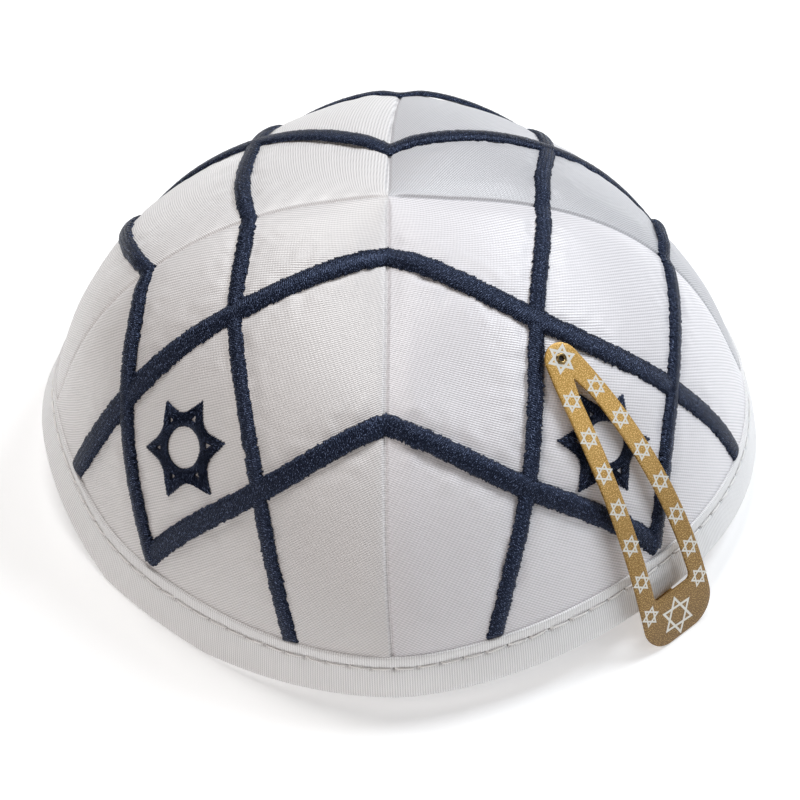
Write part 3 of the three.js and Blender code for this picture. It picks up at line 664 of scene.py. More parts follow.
def thread_group():
    """Strands of satin stitch on a map in millimetres: Height of the strands, and specks of painted
    glint for the colour.
    """
    group, source, sink, split = pattern_group("stitch_threads", 0.42, 0.6, "Glint")
    slant = source.outputs["Slant"]
    across = math_node(group, "MULTIPLY_ADD", split.outputs["X"], slant, split.outputs["Y"])
    wander = noise_node(group, source.outputs["Map"], WANDER_SCALE, NOISE_DETAIL)
    shifted = math_node(group, "MULTIPLY_ADD", wander, WANDER, across)
    wave = wave_node(group, shifted, source.outputs["Pitch"], math.pi)
    group.links.new(math_node(group, "ABSOLUTE", wave), sink.inputs["Height"])
    specks = []
    for long, fine in SPECK_STRETCHES:
        place = stretched(group, split.outputs["X"], long, across, fine)
        specks.append(noise_node(group, place, 1.0, NOISE_DETAIL))
    both = math_node(group, "ADD", *specks)
    lit = math_node(group, "MULTIPLY_ADD", both, SPECK_GAIN, SPECK_CUT)
    group.links.new(clamped(group, lit), sink.inputs["Glint"])
    return group


def map_node(tree):
    node = tree.nodes.new("ShaderNodeUVMap")
    return node.outputs["UV"]


# The colour sockets of a Mix node, which share their names with other sockets of it
MIX_FIRST = 6
MIX_SECOND = 7
MIX_RESULT = 2


def mixed(tree, factor, first, second):
    """A colour between two, by a factor from a socket."""
    mix = tree.nodes.new("ShaderNodeMix")
    mix.data_type = "RGBA"
    tree.links.new(factor, mix.inputs["Factor"])
    for place, value in ((MIX_FIRST, first), (MIX_SECOND, second)):
        if hasattr(value, "is_linked"):
            tree.links.new(value, mix.inputs[place])
        else:
            mix.inputs[place].default_value = (*value, 1.0)
    return mix.outputs[MIX_RESULT]


def bump(tree, shader, height, distance, strength):
    node = tree.nodes.new("ShaderNodeBump")
    node.inputs["Distance"].default_value = distance
    node.inputs["Strength"].default_value = strength
    tree.links.new(height, node.inputs["Height"])
    tree.links.new(node.outputs["Normal"], shader.inputs["Normal"])


# How far the painted shade and highlight of the weave darken and lighten the satin's colour
WEAVE_PAINTED_SHADING = 0.22
FLOAT_SPACING = 0.5  # between two floats of a panel, square to them, in millimetres
# Painted sheen and shade of each panel's satin, for how its grain catches the light: tints of its
# colour in red, green and blue, and then its weave's slant
PANEL_SHEEN_AND_SLANT = {
    "front_right": (1.04, 1.02, 1.05, -1.25),
    "front_left": (0.98, 0.955, 0.945, -1.25),
    "back_right": (0.76, 0.76, 0.785, 0.3),
    "back_left": (1.05, 1.03, 1.02, 0.8),
}


def panel_satin(name):
    """The satin of one panel, made once: the grain of each panel catches the light differently, and
    that sheen and shade are painted into its colour.
    """
    title = f"satin_{name}"
    if title not in bpy.data.materials:
        *sheen_tints, slant = PANEL_SHEEN_AND_SLANT[name]
        # Each panel's painted sheen and shade tint its base colour
        base = tuple(value * tint for value, tint in zip(colours().satin, sheen_tints))
        satin_material(title, base, slant, FLOAT_SPACING * math.hypot(1, slant))
    return bpy.data.materials[title]


def satin_material(name, base, slant, pitch):
    """White satin: weave bump, a soft directional sheen, and painted shade and highlight of the weave
    with slanted streaks of painted sheen in its colour.
    """
    material, tree, shader = new_material(name)
    weave = tree.nodes.new("ShaderNodeGroup")
    weave.node_tree = bpy.data.node_groups["satin_weave"]
    weave.inputs["Pitch"].default_value = pitch
    weave.inputs["Slant"].default_value = slant
    tree.links.new(map_node(tree), weave.inputs["Map"])
    # Shaded and lit copies of the colour, between which the weave's painted shading mixes
    shade = tuple(value * (1 - WEAVE_PAINTED_SHADING) for value in base)
    light = tuple(min(value * (1 + WEAVE_PAINTED_SHADING), 1.0) for value in base)
    tree.links.new(mixed(tree, weave.outputs["Tone"], shade, light), shader.inputs["Base Color"])
    shader.inputs["Roughness"].default_value = 0.4
    shader.inputs["Anisotropic"].default_value = 0.4
    shader.inputs["Specular IOR Level"].default_value = 1.0
    bump(tree, shader, weave.outputs["Height"], distance=0.04 * MM, strength=0.6)
    return material


THREAD_SHEEN = (0.3, 0.4, 0.7)  # colour of the shine on the navy thread


def thread_material(name):
    """Satin stitch thread: strands with specks of painted glint in its colour."""
    material, tree, shader = new_material(name)
    threads = tree.nodes.new("ShaderNodeGroup")
    threads.node_tree = bpy.data.node_groups["stitch_threads"]
    threads.inputs["Pitch"].default_value = stitching().thread / MM
    tree.links.new(map_node(tree), threads.inputs["Map"])
    # Painted glints: the lit specks are mixed into the thread's base colour
    painted_glints = mixed(tree, threads.outputs["Glint"], colours().thread, colours().glint)
    tree.links.new(painted_glints, shader.inputs["Base Color"])
    shader.inputs["Roughness"].default_value = 0.38
    shader.inputs["Specular IOR Level"].default_value = 0.6
    shader.inputs["Specular Tint"].default_value = (*THREAD_SHEEN, 1.0)
    bump(tree, shader, threads.outputs["Height"], distance=0.08 * MM, strength=0.9)
    return material


GOLD_SCALE = 4.2
GOLD_CUT = 0.49  # noise below this is plain lacquer
GOLD_GAIN = 6.5  # how sharply a bright grain begins
WIDE_END_DARKENING = 1.35  # how much darker and browner the wide end is than the tip
DARKENING_START = -0.3  # below 0 the colour near the tip isn't darkened yet
GRAIN_DIMMING = -0.6  # how much fainter the bright grains are where it is darkest


def gold_material(name):
    """Lacquered gold sheet: fine metallic grains, darker and browner towards the wide end."""
    material, tree, shader = new_material(name)
    grains = noise_node(tree, map_node(tree), GOLD_SCALE, FINE_DETAIL)
    grain = math_node(tree, "MULTIPLY", math_node(tree, "SUBTRACT", grains, GOLD_CUT), GOLD_GAIN)
    split = tree.nodes.new("ShaderNodeSeparateXYZ")
    tree.links.new(map_node(tree), split.inputs[0])
    down = math_node(tree, "DIVIDE", split.outputs["Y"], clip_sizes().long / MM)
    darkening = clamped(tree, math_node(tree, "MULTIPLY_ADD", down, WIDE_END_DARKENING, DARKENING_START))
    body = mixed(tree, darkening, colours().gold, colours().gold_dark)
    dimmed = math_node(tree, "MULTIPLY_ADD", darkening, GRAIN_DIMMING, 1.0)
    lit = math_node(tree, "MULTIPLY", clamped(tree, grain), dimmed)
    tree.links.new(mixed(tree, lit, body, colours().gold_light), shader.inputs["Base Color"])
    shader.inputs["Metallic"].default_value = 0.35
    shader.inputs["Roughness"].default_value = 0.42
    bump(tree, shader, grains, distance=0.03 * MM, strength=0.5)
    return material


FAINT_SCALE = 3000.0  # of noise over metres
FAINT_SHADE = 0.85


def plain_material(name, base, metallic, roughness):
    """One colour with a faint grain."""
    material, tree, shader = new_material(name)
    place = tree.nodes.new("ShaderNodeTexCoord")
    grain = noise_node(tree, place.outputs["Object"], FAINT_SCALE, NOISE_DETAIL)
    shade = tuple(value * FAINT_SHADE for value in base)
    tree.links.new(mixed(tree, grain, shade, base), shader.inputs["Base Color"])
    shader.inputs["Metallic"].default_value = metallic
    shader.inputs["Roughness"].default_value = roughness
    bump(tree, shader, grain, distance=0.02 * MM, strength=0.4)
    return material


# Finishes of one colour: which colour, metallic and roughness
PLAIN_FINISHES = {
    "sewing_thread": ("top_stitch", 0.0, 0.5),
    "pale_print": ("ink", 0.35, 0.45),
    "rolled_brass": ("brass", 1.0, 0.28),
    # A disc of painted shade for the dark hole of the eyelet
    "dark_brass": ("bore", 0.3, 0.6),
    "white_table": ("floor", 0.0, 0.7),
}
FINISHES = {
    "tape_satin": lambda name: satin_material(name, tuple(colours().tape), slant=0.05, pitch=0.46),
    "navy_thread": thread_material,
    "gold_lacquer": gold_material,
}


def get_material(name):
    """A finish by its name, made the first time that it is asked for."""
    if name in bpy.data.materials:
        return bpy.data.materials[name]
    if name in PLAIN_FINISHES:
        tint, metallic, roughness = PLAIN_FINISHES[name]
        return plain_material(name, getattr(colours(), tint), metallic, roughness)
    return FINISHES[name](name)


# Embroidery paths
LINE_TUCK = 0.5 * MM  # how far a line runs on under the binding's lip
CURVE_STEPS = 100  # fine steps between two places of a curve
LAYER = 0.15 * MM  # how far a line stands above the one that it crosses


def pattern_place(panel, places):
    """Bearings and shares of the way down for places on a panel."""
    places = np.asarray(places, float)
    angle = np.degrees(np.arctan2(places[:, 1], places[:, 0]))
    return panel["seam"] + panel["turn"] * angle, np.hypot(places[:, 0], places[:, 1])


def at_binding(panel, place):
    """The place where the way from the middle through a place meets the binding."""
    bearing, share = pattern_place(panel, [place])
    edge = 1 - (band_width(bearing) - LINE_TUCK) / seam_length(bearing)
    return tuple(np.array(place) * (edge / share)[0])


def curve_through(places, count):
    """Evenly spaced points of a centripetal curve through a few places."""
    points = np.array(places, float)
    points = np.vstack([2 * points[0] - points[1], points, 2 * points[-1] - points[-2]])
    fine = []
    for i in range(1, len(points) - 2):
        p0, p1, p2, p3 = points[i - 1:i + 3]
        d0, d1, d2 = (math.sqrt(np.linalg.norm(b - a)) for a, b in ((p0, p1), (p1, p2), (p2, p3)))
        start = ((p1 - p0) / d0 - (p2 - p0) / (d0 + d1) + (p2 - p1) / d1) * d1
        end = ((p2 - p1) / d1 - (p3 - p1) / (d1 + d2) + (p3 - p2) / d2) * d1
        t = np.linspace(0, 1, CURVE_STEPS, endpoint=i == len(points) - 3)[:, None]
        bend = p1 + start * t + (3 * (p2 - p1) - 2 * start - end) * t ** 2
        fine.append(bend + (2 * (p1 - p2) + start + end) * t ** 3)
    fine = np.vstack(fine)
    lengths = np.concatenate([[0], np.cumsum(np.linalg.norm(np.diff(fine, axis=0), axis=1))])
    wanted = np.linspace(0, lengths[-1], count)
    return np.stack([np.interp(wanted, lengths, fine[:, k]) for k in (0, 1)], axis=1), lengths[-1]


def panel_lines(panel):
    """The four lines of a panel: places, width, level above the cloth and kinds of ends.

    An end marked s meets a seam, b goes under the binding and c ends in a corner."""
    front_end = at_binding(panel, panel["front_end"])
    side_end = at_binding(panel, panel["side_end"])
    corner = np.array(panel["corner"])
    reach = stitching().narrow / 4 / seam_length([panel["seam"]])[0]

    def past_corner(start):
        way = corner - np.array(start)
        return tuple(corner + way / np.linalg.norm(way) * reach)

    wide = stitching().wide
    narrow = stitching().narrow
    front_cross = panel["front_cross"]
    side_cross = panel["side_cross"]
    return (
        ([(0, panel["narrow_inner"]), panel["cross"], front_cross, front_end], narrow, 0.0, "sb"),
        ([(panel["wide_inner"], 0), panel["cross"], side_cross, side_end], wide, LAYER, "sb"),
        ([(panel["wide_outer"], 0), front_cross, past_corner(front_cross)], wide, LAYER, "sc"),
        ([(0, panel["narrow_outer"]), side_cross, past_corner(side_cross)], narrow, 2 * LAYER, "sc"),
    )


def pattern_frame(panel, places, off):
    """Points over places of a panel, and the cloth's outward direction there."""
    nudge = 1e-3
    bearing, share = pattern_place(panel, places)
    middle = skin(bearing, share, off)
    east = skin(*pattern_place(panel, places + np.array([nudge, 0])), off) - middle
    north = skin(*pattern_place(panel, places + np.array([0, nudge])), off) - middle
    up = np.cross(east, north) * panel["turn"]
    return middle, up / np.linalg.norm(up, axis=1, keepdims=True)


def end_direction(panel, place, kind):
    """The direction of the seam or of the binding at the end of a line."""
    bearing, share = pattern_place(panel, [place])
    step = 0.01
    if kind == "s":
        way = skin(bearing, share + step, 0.0) - skin(bearing, share - step, 0.0)
    else:
        way = skin(bearing + 1, share, 0.0) - skin(bearing - 1, share, 0.0)
    return way[0] / np.linalg.norm(way[0])


# Lines of stitching
SECTION_POINTS = 12  # across the top of a line
THREAD_ROWS = 3  # rows of points on each strand
TURNING_STRANDS = 4  # strands that turn to meet what the line ends at
CREST_ROUND = 0.6
SWELL = 0.02  # how far a line widens and narrows along its way, as a share of its width
SWELL_STRANDS = 18 / 1.3  # strands from one wide place to the next
VALLEY_WIDTH = 0.05  # how far a line draws in between two strands
CREST_WIDTH = 0.06  # how far a strand reaches out again
CREST_HEIGHT = 0.05
FRAY = 0.1 * MM  # how unevenly the strands reach out
TOP_FRAY = 0.015 * MM
END_HEIGHT = 0.2  # share of the height that is left under the binding
END_FALL = (0.3 * MM, 1.6 * MM)  # from the end, where a line falls to that height
SECTION_ROUND = 0.75
LINE_SINK = 0.12 * MM  # how deep the edges of a line lie in the cloth
LINE_DEPTH = 0.3 * MM  # how deep its underside lies
STRAND_SLANT = 0.6  # as a share of the strands' spacing
MAP_WIDTH = 1.4  # way over a line from edge to edge, as a share of its width


def line_frame(panel, path, ends):
    """Middle, way ahead, side and outward way of a line, with its ends turned to what they meet."""
    middle, up = pattern_frame(panel, path, 0.0)
    along = np.gradient(middle, axis=0)
    along /= np.linalg.norm(along, axis=1, keepdims=True)
    side = np.cross(along, up)
    side /= np.linalg.norm(side, axis=1, keepdims=True)
    for row, kind in ((0, ends[0]), (len(path) - 1, ends[1])):
        if kind in "sb":
            edge = end_direction(panel, path[row], kind)
            side[row] = edge / (edge @ side[row])
    turning = THREAD_ROWS * TURNING_STRANDS
    for row in range(1, turning):
        share = row / turning
        side[row] = side[0] * (1 - share) + side[turning] * share
        side[-1 - row] = side[-1] * (1 - share) + side[-1 - turning] * share
    return middle, along, side, up


def strand_sizes(threads, width, level, rng):
    """How far a line reaches to its left and right and how high it is, row by row."""
    rows = np.arange(threads * THREAD_ROWS + 1)
    crest = np.sin(np.pi * (rows % THREAD_ROWS) / THREAD_ROWS) ** CREST_ROUND
    stray = np.repeat(rng.normal(0, 1, (threads + 1, 3)), THREAD_ROWS, axis=0)[:len(rows)]
    swell = np.sin(rows * 2 * np.pi / (THREAD_ROWS * SWELL_STRANDS) + rng.uniform(0, 6))
    half = width / 2 * (1 + SWELL * swell - VALLEY_WIDTH + CREST_WIDTH * crest)
    top = (stitching().rise + level) * (1 - CREST_HEIGHT + CREST_HEIGHT * crest)
    return half + FRAY * stray[:, 0], half + FRAY * stray[:, 1], top + TOP_FRAY * stray[:, 2]


def stitched_line(name, panel, places, width, level, ends, rng):
    """One line of satin stitch with its strands: a rib whose rows rise and fall thread by thread."""
    _, share_length = curve_through(places, 2)
    real = share_length * seam_length([panel["seam"]])[0]
    threads = int(real / stitching().thread)
    rows = threads * THREAD_ROWS + 1
    path, _ = curve_through(places, rows)
    middle, along, side, up = line_frame(panel, path, ends)
    left, right, top = strand_sizes(threads, width, level, rng)
    if ends[1] == "b":
        to_end = np.linspace(real, 0, rows)
        top *= END_HEIGHT + (1 - END_HEIGHT) * smooth(*END_FALL, to_end)
    angles = np.linspace(-np.pi / 2, np.pi / 2, SECTION_POINTS)
    across = np.sin(angles)
    rise = np.cos(angles) ** SECTION_ROUND
    reach = np.where(across[None, :] < 0, left[:, None], right[:, None]) * across[None, :]
    lift = top[:, None] * rise[None, :] - LINE_SINK
    slant = STRAND_SLANT * stitching().thread * across
    points = (
        middle[:, None, :]
        + side[:, None, :] * reach[:, :, None]
        + up[:, None, :] * lift[:, :, None]
        + along[:, None, :] * slant[None, :, None]
    )
    for end in (0, -1):
        points[end] -= along[end] * slant[:, None]
    under = middle[:, None, :] - up[:, None, :] * LINE_DEPTH
    rings = np.concatenate([points, under, points[:, :1]], axis=1)
    piece = capped_rings(name, rings, middle[0], middle[-1])
    scale_uv(piece, width * MAP_WIDTH, real)
    weld(piece, WELD)
    make_outward(piece)
    return piece


class CAP_OT_embroidery(bpy.types.Operator):
    """The raised navy lattice of each panel."""

    bl_idname = "cap.embroidery"
    bl_label = "Embroidery"

    def execute(self, context):
        rng = np.random.default_rng(11)
        for panel in PANELS:
            lines = []
            for places, width, level, ends in panel_lines(panel):
                lines.append(stitched_line("line", panel, places, width, level, ends, rng))
            piece = joined(f"lattice_{panel['name']}", lines)
            smooth_shade(piece, 60)
            hand_over(piece, get_material("navy_thread"), "embroidery", f"embroidery_{panel['name']}")
        return {"FINISHED"}


# Stars
# A star's section: share of the way from its hole to its outline, and share of its height
STAR_SECTION = (
    (0.0, -0.1), (0.02, 0.45), (0.1, 0.8), (0.22, 0.97), (0.38, 1.0), (0.54, 1.0), (0.7, 0.97),
    (0.84, 0.86), (0.94, 0.62), (1.0, 0.3), (1.02, -0.1), (0.5, -0.2), (0.0, -0.1),
)
STAR_STEPS = 24  # points on each half of a star's point
STAR_FILLET = 0.45 * MM  # thread that fills the corner between two points
FILLET_SPREAD = 7  # degrees
HOLE_ROUNDING = 0.93  # the thread fills the hole's corners and leaves it round
OUTLINE_RAGGED = (0.34 * MM, 0.06 * MM)  # from stitch to stitch, and by chance
HOLE_RAGGED = (0.2 * MM, 0.04 * MM)
RAGGED_HEIGHT = 0.25
STAR_MAP_ROUND = 45 * MM  # way round a star on its map
WINDOW_PLACE = 0.57  # share of the way to a tip
WINDOW_CORNERS = (1.05 * MM, 0.75 * MM, 0.75 * MM)
WINDOW_CUT = (-0.5 * MM, 2.0 * MM)


def star_outline(turn, reach):
    """Outer reach of a six-pointed star at a turn from one of its tips."""
    part = np.abs((np.degrees(turn) + 30) % 60 - 30)
    edge = reach * math.sin(math.radians(30)) / np.sin(np.radians(150 - part))
    return edge + STAR_FILLET * np.exp(-((30 - part) / FILLET_SPREAD) ** 2)


def star_place(panel):
    """Where a star's centre is: bearing, share of the way down, that way's length, and radius."""
    bearing, share = pattern_place(panel, [panel["star"]])
    total = seam_length(bearing)[0]
    radius = on_profile(bearing, share * total, 0.0)[0][0]
    return bearing[0], share[0], total, radius


def around_star(place, down, aside, lift):
    """Points of the cloth at distances down and aside of a star's centre."""
    bearing, share, total, radius = place
    return skin(bearing + np.degrees(aside / radius), share + down / total, lift)


def ragged_edge(edge, ragged, amounts, rng):
    """An outline that goes in and out from stitch to stitch, and meets itself."""
    even, uneven = amounts
    edge = edge + even * (ragged - 0.5) + uneven * rng.normal(0, 1, len(edge))
    edge[-1] = edge[0]
    return edge


def star_piece(place, rng):
    """A stitched star wrapped on the panel, ragged along its edges."""
    count = STAR_STEPS * 12 + 1
    turn = np.linspace(0, 2 * np.pi, count)
    ragged = np.resize([0.0, 1.0], count)
    ragged[-1] = ragged[0]
    reach = star_outline(turn, stitching().star_reach)
    reach = ragged_edge(reach, ragged, OUTLINE_RAGGED, rng)
    hole = np.full(count, stitching().star_hole * HOLE_ROUNDING)
    hole = ragged_edge(hole, ragged, HOLE_RAGGED, rng)
    out, rise = np.array(STAR_SECTION).T
    distance = hole[:, None] * (1 - out)[None, :] + reach[:, None] * out[None, :]
    lift = stitching().star_rise * rise[None, :] * (1 + RAGGED_HEIGHT * (ragged[:, None] - 0.5))
    down = distance * np.cos(turn)[:, None]
    aside = distance * np.sin(turn)[:, None]
    points = around_star(place, down, aside, lift).reshape(count, len(out), 3)
    piece = grid_piece("star", points)
    scale_uv(piece, stitching().star_reach - stitching().star_hole, STAR_MAP_ROUND)
    weld(piece, WELD)
    make_outward(piece)
    return piece


def window_cutter(place, turn):
    """A three-sided post through one point of a star."""
    middle = stitching().star_reach * WINDOW_PLACE
    points = []
    for lift in WINDOW_CUT:
        for corner, size in enumerate(WINDOW_CORNERS):
            spin = turn + math.radians(120 * corner)
            down = middle * math.cos(turn) + size * math.cos(spin)
            aside = middle * math.sin(turn) + size * math.sin(spin)
            points.append(Vector(around_star(place, down, aside, lift)[0]))
    bpy.ops.object.select_all(action="DESELECT")
    bpy.ops.mesh.primitive_cylinder_add(vertices=3, radius=1.0, depth=1.0)
    cutter = bpy.context.active_object
    for vertex in cutter.data.vertices:
        level = 0 if vertex.co.z < 0 else 3
        around = int(round(math.degrees(math.atan2(vertex.co.x, vertex.co.y)) / 120)) % 3
        vertex.co = points[level + around]
    make_outward(cutter)
    return cutter


def cut_windows(piece, place):
    """Cuts the small three-sided windows in the star's points."""
    cutters = [window_cutter(place, math.radians(60 * tip)) for tip in range(6)]
    cutter = joined("windows", cutters)
    apply_modifier(piece, "BOOLEAN", operation="DIFFERENCE", object=cutter, solver="EXACT")
    bpy.data.objects.remove(cutter)


class CAP_OT_stars(bpy.types.Operator):
    """The stitched six-pointed star in each panel's lattice."""

    bl_idname = "cap.stars"
    bl_label = "Stars"

    def execute(self, context):
        rng = np.random.default_rng(23)
        for panel in PANELS:
            place = star_place(panel)
            piece = star_piece(place, rng)
            cut_windows(piece, place)
            piece.name = f"stitched_star_{panel['name']}"
            piece.data.name = piece.name
            smooth_shade(piece, 50)
            hand_over(piece, get_material("navy_thread"), "embroidery", f"star_{panel['name']}")
        return {"FINISHED"}


# Panels
PANEL_COLUMNS = 171
PANEL_ROWS = 141
EDGE_CROWDING = 0.82  # how closely the columns crowd towards the seams
LINE_SAMPLES = 180  # points of a stitched line that the cloth is measured from
PANEL_GAP = 0.03 * MM  # half of what is left between two panels
SATIN_SHARE = 0.8  # of the panel's wall
# Rows of a panel inside the binding, in millimetres: past its edge, and off the outer face
TUCKED_ROWS = ((0.2, -0.2), (0.5, -0.7), (1.0, -1.1), (3.0, -1.1))


def line_tree(panel):
    """The panel's stitched lines as points to be found by distance."""
    points = []
    halves = []
    for places, width, _, _ in panel_lines(panel):
        path, _ = curve_through(places, LINE_SAMPLES)
        points.append(skin(*pattern_place(panel, path), 0.0))
        halves.append(np.full(len(path), width / 2))
    points = np.vstack(points)
    halves = np.concatenate(halves)
    tree = kdtree.KDTree(len(points))
    for i, point in enumerate(points):
        tree.insert(point, i)
    tree.balance()
    return tree, halves


# Height in millimetres of the turned-under edge along each panel's seams
SEAM_FOLDS = {"front_right": 0.05, "front_left": 0.24, "back_right": 0.1, "back_left": 0.16}
FOLD_PLACE = 1.3 * MM  # from the seam
FOLD_SPREAD = 1.4 * MM
# Relief of the satin in millimetres: depth or height, and size or distance from the stitching
PRESS_DEPTH = 0.28
PRESS_REACH = 1.6
PUCKER_HEIGHT = 0.26
PUCKER_SIZE = 2.4
PUCKER_REACH = 5.0
WAVE_HEIGHT = 0.42
WAVE_SIZE = 17.0
BILLOW_HEIGHT = 0.45
BILLOW_SIZE = 42.0
BILLOW_PLACE = Vector((3.1, 0.7, 5.2))
# Distances from a seam, from the binding and from the top over which the relief sets in
SEAM_CALM = 6 * MM
BINDING_CALM = 9 * MM
TOP_CALM = 3 * MM
LEAST_RELIEF = 0.1


def cloth_relief(panel, points, bearing, to_band):
    """How far the satin stands off its plain shape: pressed by the stitching, puffed between."""
    tree, halves = line_tree(panel)
    relief = np.zeros(len(points))
    r = np.hypot(points[:, 0], points[:, 1])
    for i, point in enumerate(points):
        _, index, gap = tree.find(point)
        edge = max(gap - halves[index], 0.0) / MM
        place = Vector(point) / MM
        press = math.exp(-(edge / PRESS_REACH) ** 2)
        pucker = noise.noise(place / PUCKER_SIZE) * math.exp(-(edge / PUCKER_REACH) ** 2)
        wave = noise.noise(place / WAVE_SIZE)
        billow = noise.noise(place / BILLOW_SIZE + BILLOW_PLACE)
        relief[i] = WAVE_HEIGHT * wave + BILLOW_HEIGHT * billow
        relief[i] += PUCKER_HEIGHT * pucker - PRESS_DEPTH * press
    to_seam = from_seam(bearing) * r
    crease = sizes().crease_depth * np.exp(-(to_seam / sizes().crease_spread) ** 2)
    fold = SEAM_FOLDS[panel["name"]] * MM * np.exp(-((to_seam - FOLD_PLACE) / FOLD_SPREAD) ** 2)
    calm = np.clip(to_seam / SEAM_CALM, 0, 1) * np.clip(to_band / BINDING_CALM, LEAST_RELIEF, 1)
    return relief * MM * calm + (fold - crease) * np.clip(r / TOP_CALM, 0, 1)


class CAP_OT_panels(bpy.types.Operator):
    """The four satin panels, puffed between their seams and drawn in by the stitching."""

    bl_idname = "cap.panels"
    bl_label = "Satin panels"

    def execute(self, context):
        steps = np.linspace(0, 1, PANEL_COLUMNS)
        column_share = steps - EDGE_CROWDING * np.sin(2 * np.pi * steps) / (2 * np.pi)
        main_rows = PANEL_ROWS - len(TUCKED_ROWS)
        row_share = np.concatenate([np.linspace(0, 1, main_rows), np.ones(len(TUCKED_ROWS))])
        beyond = np.array([0.0] * main_rows + [past for past, _ in TUCKED_ROWS]) * MM
        sunk = np.array([0.0] * main_rows + [off for _, off in TUCKED_ROWS]) * MM
        for panel in PANELS:
            name = f"satin_{panel['name']}"
            piece = shaped_grid(name, PANEL_COLUMNS, PANEL_ROWS)
            column, row = grid_places(piece, PANEL_COLUMNS, PANEL_ROWS)
            bearing = panel["seam"] + panel["turn"] * QUARTER * column_share[column]
            total = seam_length(bearing)
            edge = total - band_width(bearing)
            s = row_share[row] * edge + beyond[row]
            plain = skin(bearing, s / total, 0.0)
            off = cloth_relief(panel, plain, bearing, edge - s) + sunk[row]
            r, z = on_profile(bearing, s, off)
            points = placed(bearing, s / total, r, z)
            across = r * np.radians(QUARTER) * (column_share[column] - 0.5)
            middle = math.radians(panel["seam"] + panel["turn"] * QUARTER / 2)
            points[:, 0] += math.copysign(PANEL_GAP, math.sin(middle))
            points[:, 1] -= math.copysign(PANEL_GAP, math.cos(middle))
            set_points(piece, points)
            set_uv(piece, across, s)
            weld(piece, WELD)
            face_away_from(piece, Vector((0, 0, 10 * MM)))
            wall = sizes().panel_wall * SATIN_SHARE
            apply_modifier(piece, "SOLIDIFY", thickness=wall, offset=-1.0)
            smooth_shade(piece, 60)
            hand_over(piece, panel_satin(panel["name"]), "satin", f"panel_{panel['name']}")
        return {"FINISHED"}


# The binding and its stitches
STITCH_SHARE = 0.75  # share of the band's width from the rim to the top stitches
STITCH_STEPS = 1440  # fine steps round the rim
# Columns of the binding at a needle hole, in millimetres from it, and those up to the next hole
HOLE_COLUMNS = (-0.32, -0.16, 0.0, 0.16, 0.32)
PLAIN_COLUMNS = 5

# The binding's outer leg: how far its inner edge goes under the lip, as millimetres past the
# band's edge and off the panel's face, and the rows of its open face as shares of the width
UNDER_LIP = ((0.0, -0.95), (0.12, -0.3))
LIP_ROLL = 0.35 * MM  # radius of the rolled inner edge
LIP_BACK = 0.25 * MM
LIP_TURNS = (0.1, 0.4, 0.7, 1.0)
LIP_START = 0.8  # share of the width from which the cloth rises to the lip
FACE_ROWS = (0.88, 0.82, 0.79, 0.77, 0.75, 0.73, 0.71, 0.67, 0.6, 0.5, 0.4, 0.3, 0.2, 0.12)
GROOVE_DEPTH = 0.2 * MM  # how far the stitches draw the cloth in
GROOVE_SPREAD = 0.03
HOLE_DEPTH = 0.8 * MM
HOLE_LONG = 0.24 * MM
HOLE_WIDE = 0.2 * MM
PUFF = 0.12 * MM  # how far the tape puffs between the fold and the stitches
RIPPLE = 0.16 * MM
RIPPLE_STRETCH = (9.0, 1.1)  # millimetres along, and turns over the width
RIPPLE_PLACE = 4.0
FINE_RIPPLE = 0.05 * MM
FINE_STRETCH = (2.6, 2.6)
FINE_PLACE = 9.0
FINE_DRIFT = 7.0  # millimetres along over which the fine ripples slant
RIM_RADIUS = 72  # millimetres
OUTER_TURNS = (0.0, 0.35, 0.7, 1.0)
INNER_TURNS = (0.0, 0.4, 0.75, 1.0)
INNER_ROWS = (0.35, 0.5, 0.7, 0.88)


def stitch_run():
    """The line of the top stitches: bearings along it, lengths along it and the spacing."""
    fine = np.linspace(0, 360, STITCH_STEPS + 1)
    width = band_width(fine)
    total = seam_length(fine)
    above = width * STITCH_SHARE
    r, z = on_profile(fine, total - above, 0.0)
    line = placed(fine, 1 - above / total, r, z)
    lengths = np.concatenate([[0], np.cumsum(np.linalg.norm(np.diff(line, axis=0), axis=1))])
    count = int(lengths[-1] / sizes().stitch_pitch)
    return fine, lengths, count


def band_bearings():
    """Bearings of the binding's columns, distances from the nearest needle hole, and lengths."""
    fine, lengths, count = stitch_run()
    pitch = lengths[-1] / count
    near = np.array(HOLE_COLUMNS) * MM
    plain = np.linspace(near[-1], pitch + near[0], PLAIN_COLUMNS + 2)[1:-1]
    offsets = np.concatenate([near, plain])
    places = (np.arange(count)[:, None] * pitch + offsets[None, :]).ravel()
    places = np.append(places, places[0] + lengths[-1])
    gap = np.abs((places + pitch / 2) % pitch - pitch / 2)
    bearing = np.interp(np.mod(places, lengths[-1]), lengths, fine)
    return bearing, gap, places


def face_height(bearing, gap, share):
    """How far the tape's open face stands off, at a share of its width from the rim."""
    cap = sizes()
    aside = (share - STITCH_SHARE) * band_width(bearing)
    lip = max((share - LIP_START) / (1 - LIP_START), 0)
    level = cap.binding_rise + (cap.lip_rise - cap.binding_rise) * lip
    groove = GROOVE_DEPTH * math.exp(-((share - STITCH_SHARE) / GROOVE_SPREAD) ** 2)
    hole = HOLE_DEPTH * np.exp(-(gap / HOLE_LONG) ** 2 - (aside / HOLE_WIDE) ** 2)
    puff = PUFF * math.sin(math.pi * min(share / STITCH_SHARE, 1))
    around = np.radians(bearing) * RIM_RADIUS
    long, wide = RIPPLE_STRETCH
    ripple = np.array([noise.noise(Vector((a / long, share * wide, RIPPLE_PLACE))) for a in around])
    long, wide = FINE_STRETCH
    fine = np.array([
        noise.noise(Vector((a / long, share * wide + a / FINE_DRIFT, FINE_PLACE))) for a in around
    ])
    calm = min((1 - share) * 5, 1)
    return level - groove - hole + puff + (RIPPLE * ripple + FINE_RIPPLE * fine) * calm


